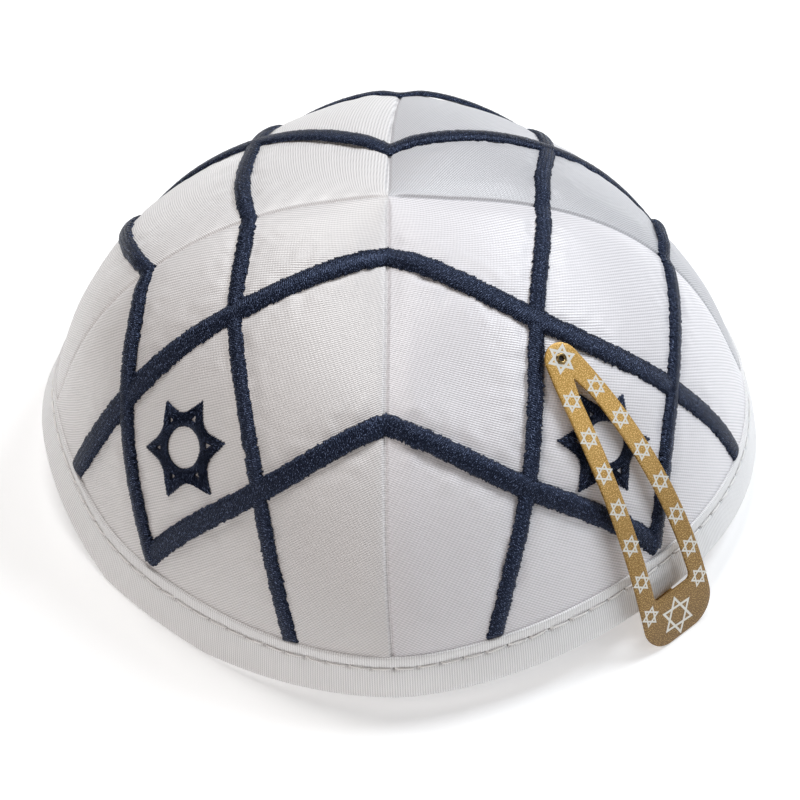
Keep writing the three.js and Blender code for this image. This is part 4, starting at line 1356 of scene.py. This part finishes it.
def band_section(bearing, gap):
    """Rings of the binding's outer face, from under the lip, round the fold and up inside."""
    cap = sizes()
    width = band_width(bearing)
    total = seam_length(bearing)

    def leg(above, off):
        r, z = on_profile(bearing, total - above, off)
        return placed(bearing, 1 - above / total, r, z)

    def fold(off, up):
        r, z = fold_point(bearing, off, up)
        return placed(bearing, np.ones_like(bearing), r, z)

    rings = [leg(width + past * MM, off * MM) for past, off in UNDER_LIP]
    for turn in LIP_TURNS:
        out = LIP_ROLL * math.sin(turn * math.pi / 2)
        back = LIP_ROLL * math.cos(turn * math.pi / 2)
        rings.append(leg(width - LIP_BACK + back, cap.lip_rise - LIP_ROLL + out))
    for share in FACE_ROWS:
        rings.append(leg(width * share, face_height(bearing, gap, share)))
    round_off = cap.fold_round
    for turn in OUTER_TURNS:
        out = cap.binding_rise - round_off + round_off * math.cos(turn * math.pi / 2)
        up = round_off - round_off * math.sin(turn * math.pi / 2)
        rings.append(fold(out, up))
    inner = -cap.binding_depth
    for turn in INNER_TURNS:
        out = inner + round_off - round_off * math.sin(turn * math.pi / 2)
        up = round_off - round_off * math.cos(turn * math.pi / 2)
        rings.append(fold(out, up))
    for share in INNER_ROWS:
        rings.append(leg(width * share, inner))
    return rings


class CAP_OT_binding(bpy.types.Operator):
    """The satin tape folded round the rim."""

    bl_idname = "cap.binding"
    bl_label = "Rim binding"

    def execute(self, context):
        bearing, gap, along = band_bearings()
        rings = np.stack(band_section(bearing, gap), axis=0)
        count, columns = rings.shape[:2]
        piece = shaped_grid("satin_binding", columns, count)
        column, row = grid_places(piece, columns, count)
        set_points(piece, rings[row, column])
        steps = np.linalg.norm(np.diff(rings[:, 0], axis=0), axis=1)
        across = np.concatenate([[0], np.cumsum(steps)])
        set_uv(piece, along[column], across[row])
        weld(piece, WELD)
        face_away_from_fold(piece)
        apply_modifier(piece, "SOLIDIFY", thickness=sizes().tape, offset=-1.0)
        smooth_shade(piece, 60)
        hand_over(piece, get_material("tape_satin"), "binding", "rim_binding")
        return {"FINISHED"}


def face_away_from_fold(piece):
    """Turns the folded tape's faces away from the panels inside the fold."""
    total = 0.0
    for face in piece.data.polygons:
        if face.center.length > sizes().half_width:
            outwards = Vector((face.center.x, face.center.y, 0)).normalized()
            total += face.area * face.normal.dot(outwards)
    if total < 0:
        edit_all(piece, bpy.ops.mesh.flip_normals)


TOP_STITCH_STEPS = 9
TOP_STITCH_SIDES = 7
TOP_STITCH_START = 0.2 * MM  # from its needle hole
TOP_STITCH_THICK = 0.19 * MM  # radius of the thread
TOP_STITCH_TAPER = (0.12, 0.88)  # parts of a half turn where the thread begins and ends
TOP_STITCH_ROUND = 0.35
TOP_STITCH_LIFT = 0.1 * MM
TOP_STITCH_DIP = 0.4 * MM  # how far its ends dip into the holes
TOP_STITCH_SKEW = 0.1 * MM
TOP_STITCH_UNEVEN = 0.03


class CAP_OT_top_stitch(bpy.types.Operator):
    """The row of hand-sized top stitches along the binding."""

    bl_idname = "cap.top_stitch"
    bl_label = "Top stitches"

    def execute(self, context):
        rng = np.random.default_rng(5)
        fine, lengths, count = stitch_run()
        along = np.linspace(-1, 1, TOP_STITCH_STEPS)
        dip = TOP_STITCH_DIP * np.abs(along) ** 5
        height = sizes().binding_rise + TOP_STITCH_LIFT - dip
        pieces = []
        for number in range(count):
            begin = number * lengths[-1] / count + TOP_STITCH_START
            long = sizes().stitch_length * (1 + TOP_STITCH_UNEVEN * rng.normal())
            stops = begin + np.linspace(0, long, TOP_STITCH_STEPS)
            skew = TOP_STITCH_SKEW * rng.normal()
            pieces.append(stitch(np.interp(stops, lengths, fine), skew * along, height))
        piece = joined("top_stitches", pieces)
        smooth_shade(piece, 80)
        hand_over(piece, get_material("sewing_thread"), "binding")
        return {"FINISHED"}


def stitch(bearings, aside, height):
    """One thread of the top stitching, as a small closed tube."""
    total = seam_length(bearings)
    above = band_width(bearings) * STITCH_SHARE + aside
    taper = np.sin(np.linspace(*TOP_STITCH_TAPER, len(bearings)) * np.pi)
    thick = TOP_STITCH_THICK * taper ** TOP_STITCH_ROUND
    rings = []
    for angle in np.linspace(0, 2 * np.pi, TOP_STITCH_SIDES + 1):
        s = total - above - thick * math.sin(angle)
        r, z = on_profile(bearings, s, height + thick * math.cos(angle))
        rings.append(placed(bearings, 1 - above / total, r, z))
    rings = np.stack(rings, axis=1)
    middle = rings[:, :-1].mean(axis=1)
    piece = capped_rings("stitch", rings, middle[0], middle[-1])
    weld(piece, WELD / 2)
    make_outward(piece)
    return piece


# The snap clip
OVER_CLOTH = 0.8  # share of the clip that lies over the cloth
LAY_RANGE = (0.2, 0.8)  # shares of the way down between which its tip is sought
LAY_STEPS = 30


def lay_clip():
    """Lays the bent clip over the cloth with its wide end on the table.

    Returns a function of the distance from its tip: r and z of the outer face's middle line, and
    the outward direction."""
    clip = clip_sizes()
    half = clip.long / (2 * clip.bend)
    chord = 2 * clip.bend * math.sin(half)
    bearing = np.array([clip.bearing])
    total = seam_length(bearing)[0]
    cloth_r, cloth_z, _, cloth_tr, cloth_tz = (values[0] for values in profile(bearing))

    def laid(share):
        tip_r, tip_z = (v[0] for v in on_profile(bearing, share * total, clip.tip_stand + clip.sheet))
        slope = math.asin(min(max((tip_z - clip.sheet / 2) / chord, 0), 1))
        along = np.array([math.cos(slope), -math.sin(slope)])
        bulge = np.array([math.sin(slope), math.cos(slope)])
        middle = np.array([tip_r, tip_z]) + along * chord / 2

        def line(s):
            turn = (np.atleast_1d(s) - clip.long / 2) / clip.bend
            point = (
                middle
                + along * clip.bend * np.sin(turn)[:, None]
                + bulge * clip.bend * (np.cos(turn) - math.cos(half))[:, None]
            )
            out = bulge * np.cos(turn)[:, None] + along * np.sin(turn)[:, None]
            return point, out

        return line

    def clearance(line):
        point, _ = line(np.arange(0, clip.long * OVER_CLOTH, MM))
        dr = point[:, 0][:, None] - cloth_r[None, :]
        dz = point[:, 1][:, None] - cloth_z[None, :]
        away = -dr * cloth_tz + dz * cloth_tr
        aside = np.abs(dr * cloth_tr + dz * cloth_tz)
        return away[aside < MM].min() - clip.sheet

    high, low = LAY_RANGE
    for _ in range(LAY_STEPS):
        share = (high + low) / 2
        if clearance(laid(share)) < clip.clearance:
            high = share
        else:
            low = share
    return laid(low)


def in_plane(r, z, aside):
    """Points of the clip's upright plane, moved aside towards its right edge."""
    angle = math.radians(clip_sizes().bearing)
    plane = np.stack([r * math.sin(angle), -r * math.cos(angle), z], axis=1)
    return plane + np.array([math.cos(angle), math.sin(angle), 0.0]) * np.asarray(aside)[:, None]


def clip_points(line, s, aside, off):
    point, out = line(s)
    place = point + out * np.asarray(off)[..., None]
    return in_plane(place[:, 0], place[:, 1], aside)


def clip_half_width(s):
    """Half the width of the clip at a distance from its tip."""
    clip = clip_sizes()
    along = s / clip.long
    side = (clip.tip_width * (1 - along) + clip.end_width * along) / 2
    side = side + 4 * clip.belly * along * (1 - along)
    tip_round = clip.tip_width / 2
    to_tip = np.maximum(tip_round - s, 0)
    to_corner = np.maximum(s - (clip.long - clip.corner), 0)
    tip_cut = tip_round - np.sqrt(np.maximum(tip_round ** 2 - to_tip ** 2, 0))
    corner_cut = clip.corner - np.sqrt(np.maximum(clip.corner ** 2 - to_corner ** 2, 0))
    return side - tip_cut - corner_cut


SLOT_HEAD_HALF = 0.14 * MM  # half width of the opening at its tip
SLOT_TAPER = 0.33  # how fast it widens from there


def slot_half_width(s):
    """Half the width of the opening at a distance from the tip."""
    clip = clip_sizes()
    foot = clip.long - clip.plate
    to_foot = np.maximum(s - (foot - clip.slot_corner), 0)
    corner = clip.slot_corner - np.sqrt(np.maximum(clip.slot_corner ** 2 - to_foot ** 2, 0))
    tapered = (s - clip.slot_head) * SLOT_TAPER + SLOT_HEAD_HALF
    plain = np.minimum(clip_half_width(s) - clip.leg, tapered)
    return np.maximum(plain - corner, 0)


def left_bow(s):
    """How far the left leg is pressed in towards the right one."""
    clip = clip_sizes()
    past_head = (s - clip.slot_head) / (clip.long - clip.slot_head)
    return clip.left_press * np.sin(np.pi * np.clip(past_head, 0, 1))


OUTLINE_POINTS = 90  # along each side of the clip
END_POINTS = 14  # over its wide end
SHEET_POINTS = 7  # over a leg, and over the tongue
CLIP_BEVEL = 0.08 * MM
SHEET_WELD = 0.01 * MM
DRILL_SHARE = 0.75  # of the eyelet's radius
DRILL_SIDES = 24


def clip_outlines():
    """The clip's outline and its opening, point for point, as (s, aside) rows."""
    clip = clip_sizes()
    bend = np.sin(np.linspace(0, np.pi / 2, OUTLINE_POINTS)) ** 2
    s_outer = clip.long * (0.5 - 0.5 * np.cos(np.pi * np.linspace(0, 1, OUTLINE_POINTS)))
    s_inner = clip.slot_head + (clip.long - clip.plate - clip.slot_head) * bend
    left_outer = np.stack([s_outer, left_bow(s_outer) - clip_half_width(s_outer)], axis=1)
    left_inner = np.stack([s_inner, left_bow(s_inner) - slot_half_width(s_inner)], axis=1)
    steps = np.linspace(0, 1, END_POINTS)[1:-1][:, None]
    right_outer = np.stack([s_outer, clip_half_width(s_outer)], axis=1)[::-1]
    right_inner = np.stack([s_inner, slot_half_width(s_inner)], axis=1)[::-1]
    end_outer = left_outer[-1] * (1 - steps) + right_outer[0] * steps
    end_inner = left_inner[-1] * (1 - steps) + right_inner[0] * steps
    tip = np.array([[0.0, 0.0]])
    head = np.array([[clip.slot_head, 0.0]])
    outer = np.vstack([tip, left_outer, end_outer, right_outer, tip])
    inner = np.vstack([head, left_inner, end_inner, right_inner, head])
    return outer, inner


def below_clip(line):
    """A point below the middle of the sheet, for its faces to turn away from."""
    return Vector(clip_points(line, clip_sizes().long / 2, [0.0], [-5 * MM])[0])


def frame_piece(line):
    """The flat frame of the clip, bent, with a hole for the eyelet and softened edges."""
    clip = clip_sizes()
    outer, inner = clip_outlines()
    count = len(outer)
    share = np.linspace(0, 1, SHEET_POINTS)
    piece = shaped_grid("clip_sheet", SHEET_POINTS, count)
    column, row = grid_places(piece, SHEET_POINTS, count)
    flat = inner[row] * (1 - share[column])[:, None] + outer[row] * share[column][:, None]
    set_points(piece, clip_points(line, flat[:, 0], flat[:, 1], np.zeros(len(flat))))
    set_uv(piece, flat[:, 1], flat[:, 0])
    weld(piece, SHEET_WELD)
    face_away_from(piece, below_clip(line))
    apply_modifier(piece, "SOLIDIFY", thickness=clip.sheet, offset=-1.0)
    drill = eyelet_cylinder(line, clip.eyelet_radius * DRILL_SHARE, 6 * clip.sheet, DRILL_SIDES)
    apply_modifier(piece, "BOOLEAN", operation="DIFFERENCE", object=drill, solver="EXACT")
    bpy.data.objects.remove(drill)
    apply_modifier(
        piece, "BEVEL", width=CLIP_BEVEL, segments=2, limit_method="ANGLE", angle_limit=0.9
    )
    smooth_shade(piece, 40)
    return piece


def eyelet_turn(line):
    """Place and turn that stand a shape on the clip at its eyelet."""
    clip = clip_sizes()
    centre = Vector(clip_points(line, clip.eyelet_place, [0.0], [-clip.sheet / 2])[0])
    out = Vector(clip_points(line, clip.eyelet_place, [0.0], [MM])[0]) - centre
    return Matrix.Translation(centre) @ out.to_track_quat("Z", "Y").to_matrix().to_4x4()


def eyelet_cylinder(line, radius, depth, sides):
    bpy.ops.object.select_all(action="DESELECT")
    bpy.ops.mesh.primitive_cylinder_add(vertices=sides, radius=radius, depth=depth)
    piece = bpy.context.active_object
    piece.data.transform(eyelet_turn(line))
    return piece


TONGUE_CLEAR = 0.5 * MM  # from the tongue to the cloth
TUCK_DEPTH = 2.1 * MM  # outer face of the cap to the inside of the panels' tucked edges
TUCK_STEP = 2.0 * MM
TONGUE_POINTS = 90
TONGUE_HALF = 3.0 * MM  # half width at the plate
TONGUE_END_HALF = 1.6 * MM
TONGUE_ROUND = 40  # the last part in so many is rounded
TONGUE_END = 0.35
TONGUE_MAP = (6 * MM, 60 * MM)


def tongue_piece(line):
    """The tongue: from the plate, under the rim, and up inside the cap against the cloth."""
    cap = sizes()
    clip = clip_sizes()
    bearing = np.array([clip.bearing])
    total = seam_length(bearing)[0]
    clear = TONGUE_CLEAR + clip.sheet / 2
    band = band_width(bearing)[0]
    behind_fold = -cap.binding_depth - clear
    behind_panel = -cap.panel_wall - clear
    behind_tuck = -TUCK_DEPTH - clear

    def under(off):
        r, z = fold_point(bearing, off, -clear)
        return r[0], z[0]

    def inside(above, off):
        r, z = on_profile(bearing, total - above, off)
        return r[0], z[0]

    outer = under(cap.binding_rise)
    s = np.linspace(0, clip.long, 1000)
    point, out = line(s)
    index = int(np.argmin(np.abs(point[:, 1] - outer[1])))
    root = tuple(point[index] - out[index] * clip.sheet / 2)
    beside_fold = fold_point(bearing, behind_fold, cap.fold_round)
    above_tuck = band + 3 * TUCK_STEP
    stops = [
        root,
        ((root[0] + outer[0]) / 2, outer[1]),
        under(cap.binding_rise - cap.fold_round),
        under(-cap.binding_depth + cap.fold_round),
        (beside_fold[0][0], beside_fold[1][0]),
        inside(band / 2, behind_fold),
        inside(band - MM, behind_fold),
        inside(band + TUCK_STEP, (behind_fold + behind_tuck) / 2),
        inside(above_tuck, behind_panel),
        inside(above_tuck + 8 * MM, behind_panel),
        inside(above_tuck + 16 * MM, behind_panel),
        inside(clip.tongue_reach, behind_panel),
    ]
    path, _ = curve_through(stops, TONGUE_POINTS)
    piece = shaped_grid("clip_tongue", SHEET_POINTS, TONGUE_POINTS)
    column, row = grid_places(piece, SHEET_POINTS, TONGUE_POINTS)
    along = np.linspace(0, 1, TONGUE_POINTS)
    half = TONGUE_HALF * (1 - along) + TONGUE_END_HALF * along
    half = half * np.sqrt(np.clip((1 - along) * TONGUE_ROUND + TONGUE_END, 0, 1))
    aside = (column / (SHEET_POINTS - 1) * 2 - 1) * half[row]
    set_points(piece, in_plane(path[row, 0], path[row, 1], aside))
    scale_uv(piece, *TONGUE_MAP)
    apply_modifier(piece, "SOLIDIFY", thickness=clip.sheet, offset=0.0)
    make_outward(piece)
    smooth_shade(piece, 40)
    return piece


# Printed stars of each leg, as shares of the way from the tip to the wide end
PRINTED_LEFT = (0.169, 0.287, 0.4, 0.515, 0.634, 0.755, 0.873)
PRINTED_RIGHT = (0.172, 0.29, 0.407, 0.521, 0.637, 0.753, 0.86)
# Sizes of the printed stars: reach and stroke in millimetres, and turn in degrees
LEG_STAR = (2.2, 0.34, 26)
TIP_STAR = (3.1, 0.5, 18)
PLATE_STAR = (4.2, 0.46, -4)
TIP_STAR_PAST = 0.1 * MM  # past the eyelet
PLATE_STAR_SHARE = 0.45  # of the plate, from the wide end
PLATE_STAR_ASIDE = -0.2 * MM
STRIP_POINTS = 6
INK_RISE = 0.012 * MM
INK_THICKNESS = 0.02 * MM


def printed_strip(line, centre, start, finish, stroke):
    """One side of a printed star, as a strip of ink that follows the bent sheet."""
    way = (finish - start) / np.linalg.norm(finish - start)
    inward = np.array([-way[1], way[0]])
    mitre = way * stroke * math.sqrt(3)
    piece = shaped_grid("strip", STRIP_POINTS, 2)
    column, row = grid_places(piece, STRIP_POINTS, 2)
    share = (column / (STRIP_POINTS - 1))[:, None]
    outer_edge = start * (1 - share) + finish * share
    inner_edge = (start + mitre) * (1 - share) + (finish - mitre) * share + inward * stroke
    flat = centre + np.where(row[:, None] == 0, outer_edge, inner_edge)
    set_points(piece, clip_points(line, flat[:, 0], flat[:, 1], np.full(len(flat), INK_RISE)))
    return piece


def printed_star(line, s, aside, star):
    """The outline of a six-pointed star printed on the clip: two crossed three-sided outlines."""
    reach, stroke, turn = star
    centre = np.array([s, aside])
    strips = []
    for first in range(0, 360, 60):
        corners = []
        for angle in (math.radians(turn + first), math.radians(turn + first + 120)):
            corners.append(np.array([math.cos(angle), math.sin(angle)]) * reach * MM)
        strips.append(printed_strip(line, centre, *corners, stroke * MM))
    return strips


def print_piece(line):
    """All the printed stars of the clip as one thin layer of ink."""
    clip = clip_sizes()
    strips = []
    for sign, shares in ((-1, PRINTED_LEFT), (1, PRINTED_RIGHT)):
        for share in shares:
            s = share * clip.long
            aside = sign * (clip_half_width(s) - clip.leg / 2)
            if sign < 0:
                aside += left_bow(s)
            strips += printed_star(line, s, aside, LEG_STAR)
    strips += printed_star(line, clip.eyelet_place + TIP_STAR_PAST, 0.0, TIP_STAR)
    plate_middle = clip.long - clip.plate * PLATE_STAR_SHARE
    strips += printed_star(line, plate_middle, PLATE_STAR_ASIDE, PLATE_STAR)
    piece = joined("clip_print", strips)
    face_away_from(piece, below_clip(line))
    apply_modifier(piece, "SOLIDIFY", thickness=INK_THICKNESS, offset=-1.0)
    return piece


EYELET_POINTS = 9  # over each rolled rim
EYELET_AROUND = 41
EYELET_ROLL = 0.32 * MM  # height of a rolled rim
EYELET_GAP = 0.02 * MM  # between the rim and the sheet
SHADE_DISC_SHARE = 1.1  # of the bore, so that the disc of painted shade closes the bore's end
EYELET_WELD = 0.005 * MM


def eyelet_piece(line):
    """The rolled eyelet: a flanged ring through the tip of the clip."""
    clip = clip_sizes()
    seat = clip.sheet / 2
    roll = (clip.eyelet_radius - clip.eyelet_bore) / 2
    section = []
    for side in (1, -1):
        for angle in np.linspace(0, np.pi, EYELET_POINTS):
            radius = clip.eyelet_bore + roll - side * roll * math.cos(angle)
            section.append((radius, side * (seat + EYELET_ROLL * math.sin(angle) + EYELET_GAP)))
    section.append(section[0])
    radius, height = np.array(section).T
    turn = np.arange(EYELET_AROUND)[:, None] / (EYELET_AROUND - 1) * 2 * np.pi
    height = np.broadcast_to(height, (EYELET_AROUND, len(section)))
    points = np.stack([radius * np.cos(turn), radius * np.sin(turn), height], axis=2)
    piece = grid_piece("eyelet", points)
    weld(piece, EYELET_WELD)
    make_outward(piece)
    piece.data.transform(eyelet_turn(line))
    smooth_shade(piece, 50)
    return piece


def eyelet_bottom(line):
    """A disc of painted shade deep in the eyelet's bore, for the dark of its hole."""
    clip = clip_sizes()
    piece = eyelet_cylinder(line, clip.eyelet_bore * SHADE_DISC_SHARE, clip.sheet / 2, DRILL_SIDES)
    piece.name = "eyelet_bottom"
    smooth_shade(piece, 40)
    return piece


class CAP_OT_clip(bpy.types.Operator):
    """The gold snap clip over the rim, its printed stars, its tongue and its eyelet."""

    bl_idname = "cap.clip"
    bl_label = "Snap clip"

    def execute(self, context):
        line = lay_clip()
        hand_over(frame_piece(line), get_material("gold_lacquer"), "clip_gold", "snap_clip")
        hand_over(tongue_piece(line), get_material("gold_lacquer"), "clip_gold")
        hand_over(print_piece(line), get_material("pale_print"), "clip_gold")
        hand_over(eyelet_piece(line), get_material("rolled_brass"), "eyelet_brass", "clip_eyelet")
        # The disc of painted shade in the eyelet's bore
        hand_over(eyelet_bottom(line), get_material("dark_brass"), "eyelet_brass")
        return {"FINISHED"}


# Stage
TABLE_SIZE = 6.0
TABLE_GLOW = 0.34  # keeps the table a plain white
WORLD_LIGHT = 0.06
WHITE = (1.0, 1.0, 1.0, 1.0)
CAMERA_LENS = 134.8
CAMERA_SENSOR = 36.0
CAMERA_ELEVATION = 44.395
CAMERA_AZIMUTH = 1.818
CAMERA_ROLL = -2.523
CAMERA_DISTANCE = 0.611675
CAMERA_RIGHT = 0.000563
CAMERA_UP = 0.003934
CAMERA_TARGET = 0.001


# Soft lights about a metre from the cap: name, bearing from the front, elevation, size, watts and
# tint. The glossy light on the right puts the sheen on the upper right panels.
LIGHTS = (
    ("top_back", 205, 66, 0.5, 5.0, (1.0, 0.99, 0.98)),
    ("right", 122, 50, 0.4, 5.3, (0.9, 0.95, 1.0)),
    ("right_low", 75, 26, 0.5, 1.5, (0.9, 0.95, 1.0)),
    ("front", 322, 36, 0.6, 2.3, (1.0, 0.91, 0.86)),
)


def area_light(name, bearing, elevation, size, power, tint):
    light = bpy.data.lights.new(name, "AREA")
    light.shape = "DISK"
    light.size = size
    light.energy = power
    light.color = tint
    lamp = bpy.data.objects.new(name, light)
    bpy.context.scene.collection.objects.link(lamp)
    turn = math.radians(bearing)
    rise = math.radians(elevation)
    away = Vector((math.sin(turn) * math.cos(rise), -math.cos(turn) * math.cos(rise), math.sin(rise)))
    lamp.location = away
    lamp.rotation_euler = away.to_track_quat("Z", "Y").to_euler()
    return lamp


class CAP_OT_stage(bpy.types.Operator):
    """The white table, the soft lights and the camera at the photograph's angle."""

    bl_idname = "cap.stage"
    bl_label = "Stage"

    def execute(self, context):
        bpy.ops.object.select_all(action="DESELECT")
        bpy.ops.mesh.primitive_plane_add(size=TABLE_SIZE, location=(0, 0, 0))
        table = context.active_object
        table.name = "table"
        material = get_material("white_table")
        shader = material.node_tree.nodes["Principled BSDF"]
        shader.inputs["Emission Color"].default_value = WHITE
        shader.inputs["Emission Strength"].default_value = TABLE_GLOW
        table.data.materials.append(material)
        for light in LIGHTS:
            area_light(*light)
        world = bpy.data.worlds.new("studio")
        world.use_nodes = True
        background = world.node_tree.nodes["Background"]
        background.inputs["Color"].default_value = WHITE
        background.inputs["Strength"].default_value = WORLD_LIGHT
        context.scene.world = world
        context.scene.view_settings.view_transform = "Standard"
        self.add_camera(context)
        return {"FINISHED"}

    def add_camera(self, context):
        elevation = math.radians(CAMERA_ELEVATION)
        azimuth = math.radians(CAMERA_AZIMUTH)
        roll = math.radians(CAMERA_ROLL)
        back = Vector((
            math.sin(azimuth) * math.cos(elevation),
            -math.cos(azimuth) * math.cos(elevation),
            math.sin(elevation),
        ))
        right = Vector((math.cos(azimuth), math.sin(azimuth), 0))
        up = back.cross(right)
        place = Vector((0, 0, CAMERA_TARGET)) + back * CAMERA_DISTANCE
        place = place + right * CAMERA_RIGHT + up * CAMERA_UP
        turned_right = right * math.cos(roll) + up * math.sin(roll)
        turned_up = up * math.cos(roll) - right * math.sin(roll)
        data = bpy.data.cameras.new("camera")
        data.lens = CAMERA_LENS
        data.sensor_width = CAMERA_SENSOR
        data.clip_start = 0.01
        data.clip_end = 20.0
        camera = bpy.data.objects.new("camera", data)
        context.scene.collection.objects.link(camera)
        turn = Matrix((turned_right, turned_up, back)).transposed()
        camera.matrix_world = Matrix.Translation(place) @ turn.to_4x4()
        context.scene.camera = camera


class CAP_PT_panel(bpy.types.Panel):
    """The skullcap's sizes, colours and pieces."""

    bl_idname = "CAP_PT_panel"
    bl_label = "Satin skullcap"
    bl_space_type = "VIEW_3D"
    bl_region_type = "UI"
    bl_category = "Skullcap"

    def draw(self, context):
        layout = self.layout
        for holder in (sizes(), stitching(), clip_sizes(), colours()):
            box = layout.box()
            for name in holder.__annotations__:
                box.prop(holder, name)
        for operator in OPERATORS:
            layout.operator(operator.bl_idname)


OPERATORS = (
    CAP_OT_stage,
    CAP_OT_panels,
    CAP_OT_binding,
    CAP_OT_top_stitch,
    CAP_OT_embroidery,
    CAP_OT_stars,
    CAP_OT_clip,
)
GROUPS = {
    "cap_sizes": CapSizes,
    "stitch_sizes": StitchSizes,
    "clip_sizes": ClipSizes,
    "cap_colours": CapColours,
}


def register():
    for group in GROUPS.values():
        bpy.utils.register_class(group)
    for name, group in GROUPS.items():
        setattr(bpy.types.Scene, name, bpy.props.PointerProperty(type=group))
    for operator in OPERATORS:
        bpy.utils.register_class(operator)
    bpy.utils.register_class(CAP_PT_panel)


def unregister():
    bpy.utils.unregister_class(CAP_PT_panel)
    for operator in reversed(OPERATORS):
        bpy.utils.unregister_class(operator)
    for name in GROUPS:
        delattr(bpy.types.Scene, name)
    for group in GROUPS.values():
        bpy.utils.unregister_class(group)


def main():
    register()
    weave_group()
    thread_group()
    bpy.ops.cap.stage()
    bpy.ops.cap.panels()
    bpy.ops.cap.binding()
    bpy.ops.cap.top_stitch()
    bpy.ops.cap.embroidery()
    bpy.ops.cap.stars()
    bpy.ops.cap.clip()


if __name__ == "__main__":
    main()
